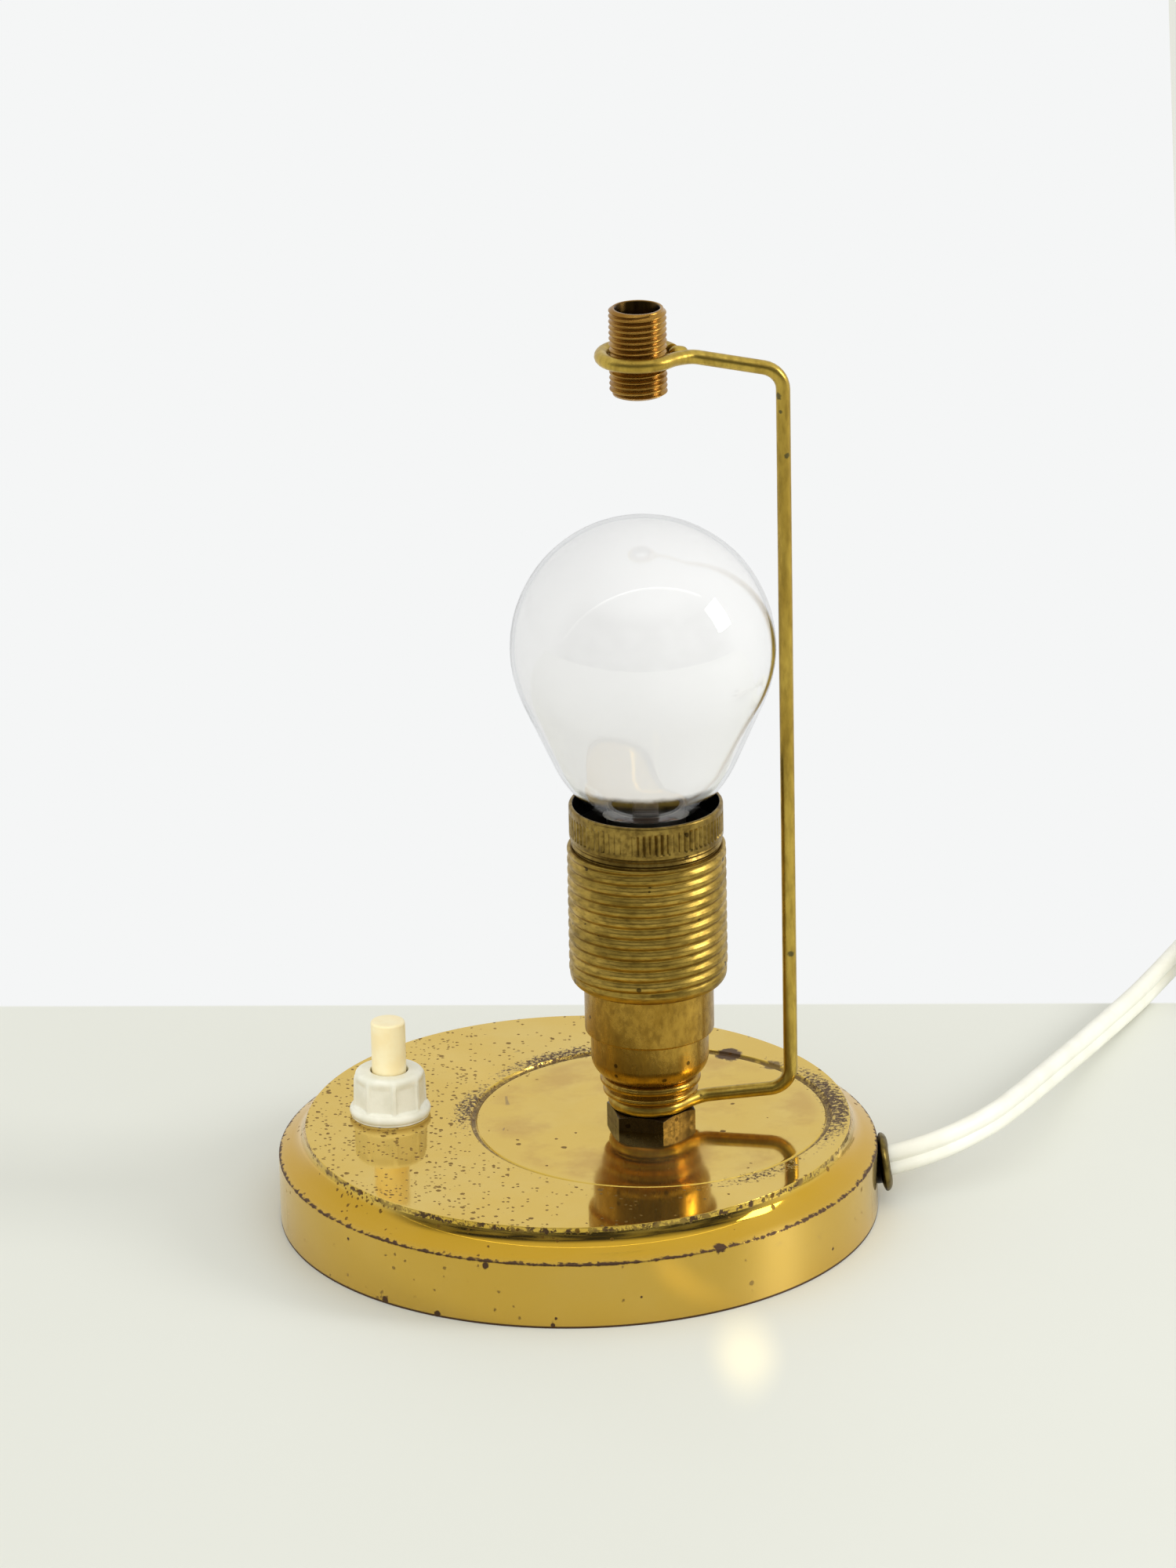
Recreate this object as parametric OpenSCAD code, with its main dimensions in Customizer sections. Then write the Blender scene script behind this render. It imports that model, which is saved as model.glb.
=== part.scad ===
// Small brass table lamp: a spun round base with a push switch and a flat twin lead,
// a threaded lampholder with a globe bulb, and a bent rod that carries a nipple for a shade.
// Millimetres, +Z up. The origin is the middle of the base, on the surface it stands on.

/* [Base] */
// Outside diameter of the base
base_d = 106; // [100:1:120]
// Height of the upright rim
rim_h = 11.8; // [11:0.2:16]
// Width of the stepped edge, from the rim to the raised plate
edge_w = 4.8; // [4:0.2:7]
// Radius of the hollow moulding below the raised plate
cove_r = 4.2; // [3.4:0.1:4.8]
// Slope of the shoulder outside the moulding, in degrees
shoulder_slope = 25; // [15:1:32]
// Wall of the spun shell
shell_t = 1; // [0.8:0.1:1.4]
// Radius of the pressed ring that the shade stands in
seat_r = 31.3; // [26:0.1:33]
// How far the plate is sunk inside the ring
seat_depth = 0.35; // [0.2:0.05:0.5]
// Radius of the groove pressed along the ring
seat_groove_r = 0.6; // [0.4:0.1:0.8]

/* [Underside] */
// Thickness of the felt under the base
felt_t = 1.2; // [0.8:0.1:2]
// Thickness of the bottom cover
cover_t = 1.2; // [0.8:0.1:1.6]
// Room for the wires between the cover and the weight
wire_room = 2.4; // [2.3:0.1:3]
// Thickness of the cast weight
weight_h = 5; // [4:0.5:6]
// Gap all round the weight
weight_gap = 1.4; // [0.8:0.1:3]
// Radius of the weight's boss under the lamp
boss_r = 9.5; // [9.2:0.1:11]
// Distance of the cover's screws from the middle
lug_at = 44; // [40:0.5:45]
// Radius of the lugs that take those screws
lug_r = 3.4; // [2.6:0.1:4]
// Radius of the cover's screws
cover_screw_r = 1.5; // [1.2:0.1:1.8]

/* [Lamp axis] */
// Lamp axis, right of the middle of the base
lamp_x = 13; // [11:0.5:14]
// Lamp axis, behind the middle of the base
lamp_y = 0.6; // [0:0.1:1]
// Outside diameter of the threaded tube and nipple
tube_d = 10; // [9:0.5:10]
// Bore of the threaded tube and nipple
tube_bore_d = 7.7; // [7.2:0.1:8]
// Hexagon nuts, across flats
nut_af = 14; // [13:0.5:14.5]
// Height of the nut on the plate
nut_h = 2.7; // [2.4:0.1:4]
// Turn of that nut, in degrees
nut_turn = 44.5; // [0:0.5:59.5]
// Height of the locknut below the weight
locknut_h = 3; // [2:0.2:3.4]
// Thickness of its washer
washer_t = 1; // [0.6:0.1:1.4]
// Radius of its washer
washer_r = 8.8; // [8.4:0.1:9]

/* [Rod] */
// Diameter of the bent rod
rod_d = 2.5; // [2:0.1:2.8]
// Gap between the upright and the globe
rod_gap = 0.4; // [0.3:0.05:3]
// Bend radius of the rod, on its centreline
rod_bend = 4; // [3:0.5:6]
// Height of the upper eye of the rod
eye_z = 157.7; // [150:0.5:165]
// Fall of the upper arm, in degrees
arm_fall = 10.4; // [4:0.2:14]
// Rise of the lower arm, in degrees
arm_rise = 5; // [0:0.5:6]
// Radius of the solder where each eye is closed
solder_r = 1.35; // [1.3:0.05:1.5]
// Length of the nipple that carries the shade
nipple_l = 15.4; // [13:0.1:18]
// How far the nipple reaches below the middle of its eye
nipple_below = 6.8; // [4:0.1:8]

/* [Lampholder] */
// Height of the cap, from the eye below it to the threaded sleeve
cap_h = 21.2; // [20:0.1:24]
// Diameter of the upper part of the cap
cap_d = 22.8; // [22:0.1:23.4]
// Length of the upper part of the cap that shows
cap_upper_h = 9; // [7:0.1:11]
// Diameter of the lower part of the cap
cap_lower_d = 20.8; // [19.4:0.1:21]
// Diameter of the cap's neck
cap_neck_d = 17.4; // [16.4:0.1:18]
// Wall of the cap
cap_t = 0.8; // [0.6:0.1:1]
// How far the cap goes up into the sleeve
cap_in = 4; // [3:0.5:5]
// Outside diameter of the threaded sleeve, over its crests
sleeve_d = 28; // [27.8:0.1:30]
// Height of the threaded sleeve
sleeve_h = 25.5; // [24:0.5:28]
// Pitch of the sleeve's thread, drawn as rings
sleeve_pitch = 2; // [1.5:0.25:2.5]
// Depth of the thread, drawn as rings
sleeve_thread = 0.45; // [0.3:0.05:0.5]
// Wall of the sleeve below its thread
sleeve_wall = 0.5; // [0.4:0.05:0.7]
// Rounding of the sleeve's lower corner
sleeve_corner = 2; // [1:0.1:2.4]
// Height of the collar's knurled band and lip
collar_h = 6; // [5:0.1:8]
// How far the collar's thread shows above the sleeve
collar_up = 1.9; // [1.2:0.1:3]
// Length of the collar inside the sleeve
collar_in = 2.3; // [2:0.1:3]
// Diameter of the knurled band
collar_d = 27; // [26.6:0.1:28]
// Number of notches in the knurled band
knurls = 60; // [40:2:72]
// Depth of the notches
knurl_depth = 0.22; // [0.1:0.01:0.3]

/* [Bulb] */
// Diameter of the globe
globe_d = 46.2; // [42:0.2:46.4]
// Height of the middle of the globe above the sleeve's foot
globe_up = 62; // [60:0.2:64]
// Glass wall
glass_t = 0.7; // [0.5:0.1:1]
// Diameter of the glass neck
neck_d = 18.7; // [17:0.1:19.4]
// Distance from the middle of the globe to the foot of the neck
neck_drop = 29.4; // [28:0.2:30]
// Diameter of the bulb's screw cap
bulb_cap_d = 13.9; // [13.5:0.1:14.2]
// Length of the screw cap
bulb_cap_l = 19.5; // [18:0.5:21]
// Height of the cap's insulator
insulator_h = 2.3; // [2:0.1:3]
// Height of the contact under the insulator
contact_h = 1.2; // [1:0.1:1.6]

/* [Switch] */
// Switch axis, in from the rim
switch_edge = 19.8; // [18:0.2:22]
// Switch axis, behind the middle of the base
switch_back = 4.2; // [2:0.2:8]
// Diameter of the collar's foot
flange_d = 14.4; // [13.6:0.2:16]
// Thickness of the collar's foot
flange_h = 2; // [1.5:0.1:3]
// Diameter of the fluted collar
flute_d = 13.2; // [12.8:0.1:13.4]
// Height of the fluted collar, with its foot
ring_h = 8.5; // [8:0.1:12]
// Number of sunk panels round the collar
panels = 8; // [6:1:10]
// Depth of the sunk panels
panel_depth = 0.5; // [0.3:0.1:0.6]
// Diameter of the button
button_d = 6.1; // [5.6:0.1:6.4]
// How far the button stands above its collar
button_up = 9.2; // [6:0.1:10]
// Travel of the button
button_travel = 4; // [3:0.2:4.6]
// Outside diameter of the switch's threaded neck
switch_neck_d = 9.8; // [9.2:0.1:10]
// Diameter of the switch body under the plate
switch_body_d = 17; // [16:0.5:18]
// Height of the switch body under the plate
switch_body_h = 11; // [10:0.2:11.4]

/* [Lead] */
// Width of the flat twin lead
lead_w = 5.6; // [5.2:0.1:5.8]
// Thickness of the flat twin lead
lead_t = 3.2; // [2.8:0.1:3.4]
// Diameter of the lead's dished bush
bush_d = 10.5; // [10:0.1:12]
// Height of the bush's middle above the table
bush_z = 7.2; // [6.8:0.1:7.6]
// Upward tilt of the bush, in degrees
bush_tilt = 7.6; // [4:0.2:9]
// Bore of the bush
bush_bore_d = 6.4; // [6.2:0.1:6.8]
// Radius of the coil's outer turn
coil_r = 37.5; // [36:0.5:42]
// Gap between turns, side by side and layer on layer
coil_gap = 0.55; // [0.5:0.05:1]
// Turns of the coil, in its two layers together
coil_turns = 8.425; // [6.425:1:8.425]

/* [Plug] */
// Length of the plug's body, without its boot
plug_l = 26; // [24:1:30]
// Length of the plug's tapered boot
boot_l = 20; // [18:1:22]
// Width of the plug's body at its face
plug_w = 25; // [24:0.5:28]
// Thickness of the plug's body
plug_h = 13.7; // [12:0.1:15]
// Diameter of the pins
pin_d = 4; // [3.8:0.1:4.8]
// Length of the pins
pin_l = 19; // [17:0.5:20]
// Distance between the pins
pin_gap = 18.6; // [17:0.1:19]

/* [Fits] */
// Gap between a threaded piece and its nut or holder
thread_fit = 0.05; // [0.03:0.01:0.1]
// Gap between a hole in the shell and what passes through it
hole_fit = 0.2; // [0.1:0.05:0.4]
// Gap round the button in its neck, and round the bulb's cap in its screw shell
running_fit = 0.08; // [0.05:0.01:0.1]
// Gap round the button where it isn't guided
moving_gap = 0.35; // [0.3:0.05:0.5]

/* [Hidden] */
$fn = 96;
eps = 0.01;
wire_r = 1;         // insulated wires inside the base and tube

// base
base_r = base_d / 2;
plate_r = base_r - edge_w;
cove_turn = 90 - shoulder_slope;
cove_x = plate_r + cove_r;
cove_foot = [cove_x - cove_r * cos(cove_turn), cove_r * sin(cove_turn)];
shoulder_fall = (base_r - cove_foot.x) * tan(shoulder_slope);
base_h = rim_h + shoulder_fall + cove_foot.y;
seat_z = base_h - seat_depth;
under_z = base_h - shell_t;
seat_under_z = seat_z - shell_t;
hole_r = tube_d / 2 + hole_fit;
cover_top = felt_t + cover_t;
weight_z = cover_top + wire_room;
weight_r = base_r - shell_t - weight_gap;
// stack on the threaded tube
nut_z = seat_z;
lower_eye_z = nut_z + nut_h + rod_d / 2;
cap_z = lower_eye_z + rod_d / 2;
pocket_h = 4.4;     // pocket in the weight for the washer and the locknut
washer_z = weight_z + pocket_h - washer_t;
locknut_z = washer_z - locknut_h;
tube_z = locknut_z - 0.3;
// lampholder
sleeve_z = cap_z + cap_h;
sleeve_top = sleeve_z + sleeve_h;
cap_top = sleeve_z + cap_in;
tube_top = sleeve_z - 10;
sleeve_root_r = sleeve_d / 2 - sleeve_thread;
sleeve_in_r = sleeve_root_r - sleeve_wall;
core_r = sleeve_in_r - 0.4;
collar_z = sleeve_top + collar_up;
collar_top = collar_z + collar_h;
core_top = sleeve_top - collar_in;
recess_r = 8.2;
core_floor = cap_top + 3.8;
shell_top = core_top + 2;
shell_in_r = bulb_cap_d / 2 + running_fit;
shell_wall = 0.5;
// bulb
globe_z = sleeve_z + globe_up;
neck_z = globe_z - neck_drop;
taper = 24;         // slope of the globe's flank
flank_z = neck_z + 9;   // where the flank ends and the neck's round starts
flank_r = globe_d / 2 * cos(taper) - (globe_z - globe_d / 2 * sin(taper) - flank_z) * tan(taper);
// The round runs from the end of the flank, tangent to it, down to the foot of the neck.
neck_round = ((flank_r - neck_d / 2) ^ 2 + (flank_z - neck_z) ^ 2)
    / 2 / ((flank_r - neck_d / 2) * cos(taper) - (flank_z - neck_z) * sin(taper));
neck_in = flank_r - neck_round * cos(taper);
neck_mid_z = flank_z + neck_round * sin(taper);
bulb_cap_wall = 0.3;
bulb_cap_z = neck_z - bulb_cap_l;
contact_z = bulb_cap_z - insulator_h - contact_h;
contact_r = 2.6;
mount_r = 2.6;
filament_w = 18;
// switch
switch_at = [switch_edge - base_r, switch_back];
ring_top = base_h + ring_h;
ring_roof = 1.2;
button_r = button_d / 2;
button_top = ring_top + button_up;
body_z = under_z - switch_body_h;
switch_floor = body_z + 1;
button_foot_r = button_r + 0.9;
button_foot_z = switch_floor + 3 + button_travel;
button_foot_h = 1.2;
bridge_t = 0.6;
neck_top = ring_top - ring_roof - 0.4;
terminal_out = 5.5;
terminal_r = 1.8;
terminal_h = 1.9;
// rod
eye_r = tube_d / 2 + thread_fit + rod_d / 2;
solder_at = eye_r + 1.1;
rod_reach = globe_d / 2 + rod_gap + rod_d / 2;
// lead
bush_face = base_r + bush_d / 2 * sin(bush_tilt) + 0.1;
bush_dish = 2.2;
bush_neck_r = bush_bore_d / 2 + 0.5;
bush_hole_r = bush_neck_r + 0.4;
slot_y = 6;         // half width of the way in for the lead
bush_clip_w = 2 * slot_y - 1;
bush_clip_h = 8.4;
bush_clip_t = 1;
bush_clip_sag = slot_y * slot_y / 2 / base_r;   // the wall curves in behind the clip's corners
bush_clip_in = (bush_face - base_r + shell_t + bush_clip_sag + 0.12 + bush_clip_h / 2 * sin(bush_tilt)) / cos(bush_tilt);
bush_neck_l = bush_clip_in + bush_clip_t + 0.4;
saddle_x = base_r - 15;
// Lead route up to the coil, on the middle of the lead.
lead_route = [[44, 0, 6], [50, 0, 6.8], [54.5, 0.05, 7.4], [58.6, 0.65, 8.15], [62.6, 1.95, 8.9],
    [66.3, 3.93, 9.55], [69.65, 6.6, 10], [72.6, 9.85, 10.2], [75.3, 13.9, 10.1], [77.7, 18.7, 9.8],
    [80.1, 24.2, 9.2], [82.7, 30.8, 8.4], [85.7, 38.8, 7.3], [89.2, 48, 6.1], [92.9, 57.2, 5],
    [96.7, 66.3, 4.2], [100.6, 75.4, 3.5], [104.6, 84.5, 3], [108.5, 93.5, 2.8], [112.4, 102.5, 2.8],
    [116.3, 111.6, 2.8]];
// Lead route from the coil to the plug.
tail_route = [[194.5, 98, 8.2], [194.5, 90, 6.2], [194.5, 82, 4.2], [194.5, 74, 3.1],
    [194.5, 67, 2.9], [194.5, 60, 3.8], [194.5, 54, 5.4]];
// wires inside
split_x = 30;       // where the lead's wires part
split_z = lead_route[0].z - 0.6;
wire_z = cover_top + wire_room / 2;
wire_at = 1.6;      // wires in the tube, from its axis
post_at = 6;        // terminals of the lampholder, from its axis
post_h = 3.4;
post_r = 2.2;
post_z = cap_top - post_h - 0.2;
// coil
coil_mid = [157, 110, 0];
coil_start = 153;
side_pitch = lead_t + coil_gap;
layer_pitch = lead_w + coil_gap;
coil_rings = ceil(coil_turns * 24);
plug_at = [194.5, 47, plug_h / 2];
plug_end = boot_l + plug_l;
pin_in = 8;         // how far the pins go into the plug
pin_shank_r = pin_d / 2 - 0.3;
lead_loop_section = flat_section(6, 0.5);
lead_section = flat_section(8, 0.42);

// helpers

function unit(v) = v / norm(v);
function round_section(r, n) = [for (i = [0:n - 1]) [r * cos(360 * i / n), r * sin(360 * i / n)]];

// Section of the flat lead, with n sides: its flanks run straight over a share of the width.
function flat_section(n, share) = let (k = n / 2)
    [for (end = [1, -1], j = [0:k - 1]) let (a = 180 * j / (k - 1))
        [end * cos(a) * lead_t / 2, end * (share + (1 - share) * min(1, sin(a) * 1.16)) * lead_w / 2]];

// One ring of a tube: its section stands across the direction t, upright along ref.
function ring(p, t, ref, section) = let (side = unit(cross(t, ref)), up = cross(side, t))
    [for (s = section) p + side * s.x + up * s.y];

// Directions at each point, with those of the two ends given.
function directions(pts, first, last) = let (n = len(pts))
    [for (i = [0:n - 1]) i == 0 ? unit(first) : i == n - 1 ? unit(last)
        : unit(unit(pts[i + 1] - pts[i]) + unit(pts[i] - pts[i - 1]))];

// A closed tube along points.
module sweep(pts, section, first, last, ref = [0, 0, 1]) {
    n = len(pts);
    m = len(section);
    dirs = directions(pts, first, last);
    rings = [for (i = [0:n - 1]) each ring(pts[i], dirs[i], ref, section)];
    sides = [for (i = [0:n - 2], j = [0:m - 1]) let (a = i * m + j, b = i * m + (j + 1) % m)
        each [[a, b, a + m], [b, b + m, a + m]]];
    first_cap = [for (j = [1:m - 2]) [0, j + 1, j]];
    last_cap = [for (j = [1:m - 2]) [(n - 1) * m, (n - 1) * m + j, (n - 1) * m + j + 1]];
    polyhedron(rings, concat(sides, first_cap, last_cap));
}

module at_lamp() {
    translate([lamp_x, lamp_y, 0]) children();
}

module at_switch() {
    translate([switch_at.x, switch_at.y, 0]) children();
}

// Everything on the bush's tilted axis; +Z points out of the base.
module at_bush() {
    translate([bush_face, 0, bush_z]) rotate([0, 90 - bush_tilt, 0]) children();
}

module tube(r, bore, h) {
    difference() {
        cylinder(r = r, h = h);
        translate([0, 0, -1]) cylinder(r = bore, h = h + 2);
    }
}

// Threaded tube with chamfered ends.
module nipple(length) {
    chamfer = 0.5;
    r = tube_d / 2;
    bore = tube_bore_d / 2;
    rotate_extrude() polygon([[bore, 0], [r - chamfer, 0], [r, chamfer], [r, length - chamfer],
        [r - chamfer, length], [bore, length]]);
}

module hex_nut(h, af) {
    chamfer_r = af / 2 + 0.35;
    difference() {
        intersection() {
            cylinder(r = af / 2 / cos(30), h = h, $fn = 6);
            rotate_extrude() polygon([[0, 0], [chamfer_r, 0], [chamfer_r + 1, 0.6],
                [chamfer_r + 1, h - 0.6], [chamfer_r, h], [0, h]]);
        }
        translate([0, 0, -1]) cylinder(r = tube_d / 2 + thread_fit, h = h + 2);
    }
}

// base

// Half outline of the base: rim, shoulder and hollow moulding, drawn in by inset.
module base_outline(inset) {
    r = base_r - inset;
    reach = cove_r + inset;
    foot = [cove_x - reach * cos(cove_turn), base_h - reach * sin(cove_turn)];
    rim = foot.y - (r - foot.x) * tan(shoulder_slope);
    top = base_h - inset;
    difference() {
        union() {
            polygon([[0, -inset], [r, -inset], [r, rim], [foot.x, foot.y], [0, foot.y]]);
            translate([0, foot.y - eps]) square([foot.x, top - foot.y + eps]);
        }
        intersection() {
            translate([cove_x, base_h]) circle(r = reach);
            translate([0, foot.y]) square([foot.x + 1, base_h]);
        }
    }
}

module base_shell() {
    color("#d8b858") difference() {
        union() {
            difference() {
                rotate_extrude() base_outline(0);
                rotate_extrude() base_outline(shell_t);
            }
            at_lamp() translate([0, 0, seat_under_z]) cylinder(r = seat_r + 1, h = seat_depth + shell_t / 2);
        }
        // sunk plate and pressed groove of the shade's seat
        at_lamp() translate([0, 0, seat_z]) cylinder(r = seat_r, h = 5);
        at_lamp() rotate_extrude() translate([seat_r, base_h]) circle(r = seat_groove_r, $fn = 32);
        at_lamp() translate([0, 0, seat_under_z - 1]) cylinder(r = hole_r, h = 5);
        at_switch() translate([0, 0, under_z - 2]) cylinder(r = switch_neck_d / 2 + hole_fit, h = 5);
        at_bush() translate([0, 0, -bush_d]) cylinder(r = bush_hole_r, h = bush_d);
    }
}

// The three lugs and the screws that hold the cover.
module at_lugs() {
    for (a = [90, 210, 330]) rotate(a) translate([lug_at, 0, 0]) children();
}

module base_weight() {
    pocket_r = washer_r + 0.7;
    trench = 8;
    color("#4a4744") difference() {
        union() {
            translate([0, 0, weight_z]) cylinder(r = weight_r, h = weight_h);
            at_lamp() translate([0, 0, weight_z]) cylinder(r = boss_r, h = seat_under_z - weight_z);
            at_lugs() translate([0, 0, cover_top]) cylinder(r = lug_r, h = wire_room + 1);
        }
        at_lamp() translate([0, 0, weight_z - 1]) cylinder(r = hole_r, h = base_h);
        at_lamp() translate([0, 0, weight_z - 1]) cylinder(r = pocket_r, h = pocket_h + 1, $fn = 64);
        at_switch() translate([0, 0, weight_z - 1]) cylinder(r = switch_body_d / 2 + 1, h = weight_h + 2);
        // way in for the lead
        translate([lamp_x + pocket_r - 2, -slot_y, weight_z - 1]) cube([base_r, 2 * slot_y, weight_h + 2]);
        // trench for the wires to the switch
        translate([switch_at.x, lamp_y - trench / 2, weight_z - 1])
            cube([lamp_x - switch_at.x, trench, weight_h / 2 + 1]);
        at_lugs() translate([0, 0, cover_top - 1])
            cylinder(r = cover_screw_r + thread_fit, h = wire_room + weight_h);
    }
}

module bottom_cover() {
    color("#8b8578") difference() {
        translate([0, 0, felt_t]) cylinder(r = base_r - shell_t - hole_fit, h = cover_t);
        at_lugs() translate([0, 0, felt_t - 1]) cylinder(r = cover_screw_r + hole_fit, h = cover_t + 2);
        at_lugs() translate([0, 0, felt_t - eps])
            cylinder(r1 = cover_screw_r * 2, r2 = cover_screw_r, h = cover_screw_r + eps);
    }
}

module cover_screws() {
    head = cover_screw_r * 0.8;
    color("#9a9a98") at_lugs() difference() {
        union() {
            translate([0, 0, felt_t]) cylinder(r1 = cover_screw_r * 1.85, r2 = cover_screw_r, h = head);
            translate([0, 0, felt_t + head - eps]) cylinder(r = cover_screw_r, h = wire_room + 3);
        }
        translate([-3, -0.3, felt_t - 1]) cube([6, 0.6, 1.5]);
    }
}

module felt_pad() {
    color("#3d4a3a") cylinder(r = base_r - shell_t - 0.6, h = felt_t);
}

// threaded tube, nuts and washer

module stem_tube() {
    color("#b08a3c") at_lamp() translate([0, 0, tube_z]) nipple(tube_top - tube_z);
}

module stem_nut() {
    color("#5b4a26") at_lamp() translate([0, 0, nut_z]) rotate(nut_turn) hex_nut(nut_h, nut_af);
}

module stem_washer() {
    color("#a0a09c") at_lamp() translate([0, 0, washer_z]) tube(washer_r, hole_r, washer_t);
}

module stem_locknut() {
    color("#a8924c") at_lamp() translate([0, 0, locknut_z]) hex_nut(locknut_h, nut_af);
}

// rod

// One round bend of the rod, in the XZ plane about its centre, from angle a over the angle turn.
// It is a hair thicker than the rod, so that the straight stretches seat inside its ends.
module bend(a, turn) {
    rotate([90, 0, 0]) rotate(a) rotate_extrude(angle = turn, $fn = 64) translate([rod_bend, 0])
        circle(d = rod_d + 0.02, $fn = 24);
}

// A straight stretch of the rod from p to q, both in the XZ plane, seated in what it meets.
module straight(p, q) {
    seat = 0.15;
    d = q - p;
    translate([p.x, 0, p.y]) rotate([0, atan2(d.x, d.y), 0]) translate([0, 0, -seat])
        cylinder(d = rod_d, h = norm(d) + 2 * seat, $fn = 24);
}

// Height at which the upright starts, for the eye at height z.
function upright_end(z, slope, up) =
    z + up * ((rod_reach - solder_at) * tan(slope) + rod_bend * (1 - sin(slope)) / cos(slope));

// An eye, its solder, its arm and the bend into the upright: z is the eye's height, slope the
// angle by which the arm runs away from it, and up is 1 at the lower eye and -1 at the upper one.
module eye_and_arm(z, slope, up) {
    turn = 90 - slope;
    centre = [rod_reach - rod_bend, upright_end(z, slope, up)];
    foot = centre + rod_bend * [sin(slope), -up * cos(slope)];
    translate([0, 0, z]) rotate_extrude($fn = 48) translate([eye_r, 0]) circle(d = rod_d, $fn = 20);
    translate([solder_at, 0, z]) sphere(r = solder_r, $fn = 24);
    straight([solder_at, z], foot);
    translate([centre.x, 0, centre.y]) bend(up > 0 ? -turn : 0, turn);
}

module rod() {
    color("#b79a45") at_lamp() {
        eye_and_arm(lower_eye_z, arm_rise, 1);
        eye_and_arm(eye_z, arm_fall, -1);
        straight([rod_reach, upright_end(lower_eye_z, arm_rise, 1)],
            [rod_reach, upright_end(eye_z, arm_fall, -1)]);
    }
}

module top_nipple() {
    color("#8a5a24") at_lamp() translate([0, 0, eye_z - nipple_below]) nipple(nipple_l);
}

// lampholder

// Cap: a spun cup with a step, a rounded waist, a bead and a flange over the tube's thread.
module socket_cap() {
    r1 = cap_d / 2;
    r2 = cap_lower_d / 2;
    r3 = cap_neck_d / 2;
    step_z = sleeve_z - cap_upper_h;
    waist = r2 - r3 + 2.2;
    bead_r = 0.9;
    bead_z = cap_z + 2.9;
    waist_z = bead_z + 0.6 + waist;
    floor_t = 2;
    fit_r = tube_d / 2 + thread_fit;
    color("#b8974a") at_lamp() rotate_extrude() difference() {
        union() {
            translate([0, step_z]) square([r1, cap_top - step_z]);
            translate([0, waist_z]) square([r2, step_z - waist_z + eps]);
            // rounded waist between the lower part and the neck
            intersection() {
                translate([r2 - waist, waist_z]) circle(r = waist);
                translate([0, bead_z]) square([r2, waist_z - bead_z + eps]);
            }
            translate([0, bead_z]) square([r2 - waist, waist_z - bead_z + eps]);
            translate([0, cap_z]) square([eye_r + 0.6, bead_z - cap_z + 1]);
            translate([0, cap_z + 0.2]) square([r3 - 0.5, bead_z - cap_z + 0.8]);
            translate([r3 - bead_r + 0.2, bead_z]) circle(r = bead_r, $fn = 32);
            // flange at the foot
            translate([r3 - 0.9, cap_z + 0.8]) circle(r = 0.6, $fn = 32);
        }
        translate([0, step_z + cap_t]) square([r1 - cap_t, cap_top]);
        translate([0, waist_z]) square([r2 - cap_t, step_z + 2 * cap_t - waist_z]);
        translate([0, cap_z + floor_t + 2.5]) square([r2 - waist + 0.6, waist_z]);
        translate([-1, cap_z - 1]) square([fit_r + 1, cap_top]);
    }
}

// Sleeve: its thread is drawn as round-crested rings.
module socket_sleeve() {
    crest_r = sleeve_pitch * 0.3;
    crest_out = sleeve_d / 2 - crest_r;
    first = sleeve_z + sleeve_corner + crest_r;
    count = floor((sleeve_top - 0.3 - crest_r - first) / sleeve_pitch);
    hole = cap_d / 2 + thread_fit;
    floor_t = 1;
    color("#b09142") at_lamp() rotate_extrude() difference() {
        union() {
            translate([0, sleeve_z + sleeve_corner]) square([sleeve_root_r, sleeve_h - sleeve_corner]);
            translate([0, sleeve_z]) square([sleeve_root_r - sleeve_corner, sleeve_corner + eps]);
            intersection() {
                translate([sleeve_root_r - sleeve_corner, sleeve_z + sleeve_corner])
                    circle(r = sleeve_corner, $fn = 48);
                translate([0, sleeve_z]) square([sleeve_d, sleeve_corner + eps]);
            }
            for (i = [0:count]) translate([crest_out, first + i * sleeve_pitch])
                circle(r = crest_r, $fn = 24);
        }
        translate([0, sleeve_z + sleeve_corner + floor_t / 2]) square([sleeve_in_r, sleeve_h]);
        translate([0, sleeve_z + floor_t]) square([sleeve_in_r - sleeve_corner + 0.5, sleeve_h]);
        translate([-1, sleeve_z - 1]) square([hole + 1, sleeve_h]);
    }
}

// Collar: a knurled band with a rolled lip, and a threaded skirt that goes into the sleeve.
module socket_collar() {
    r = collar_d / 2;
    lip = 0.8;
    lip_z = collar_top - lip;
    skirt_r = sleeve_in_r - thread_fit;
    inner = core_r - 1;
    color("#94803f") at_lamp() difference() {
        rotate_extrude() difference() {
            union() {
                translate([0, collar_z + 0.3]) square([r, lip_z - collar_z - 0.3 + eps]);
                translate([0, collar_z]) square([r - 0.3, 1]);
                translate([0, lip_z]) square([r - lip, lip]);
                intersection() {
                    translate([r - lip, lip_z]) circle(r = lip, $fn = 32);
                    translate([0, lip_z]) square([r, lip]);
                }
                translate([0, sleeve_top + 0.3]) square([r - 0.3, collar_up]);
                translate([0, core_top]) square([skirt_r, collar_in + collar_up]);
            }
            translate([-1, core_top - 1]) square([inner + 1, collar_h + 20]);
            translate([0, collar_z + 1.2]) square([r - 0.7, collar_h]);
        }
        // fine upright notches of the knurled band
        for (i = [0:knurls - 1]) rotate(360 * i / knurls) translate([r + 0.4 - knurl_depth, 0, collar_z + 0.7])
            cylinder(r = 0.4, h = lip_z - collar_z - 1, $fn = 3);
    }
}

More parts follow.
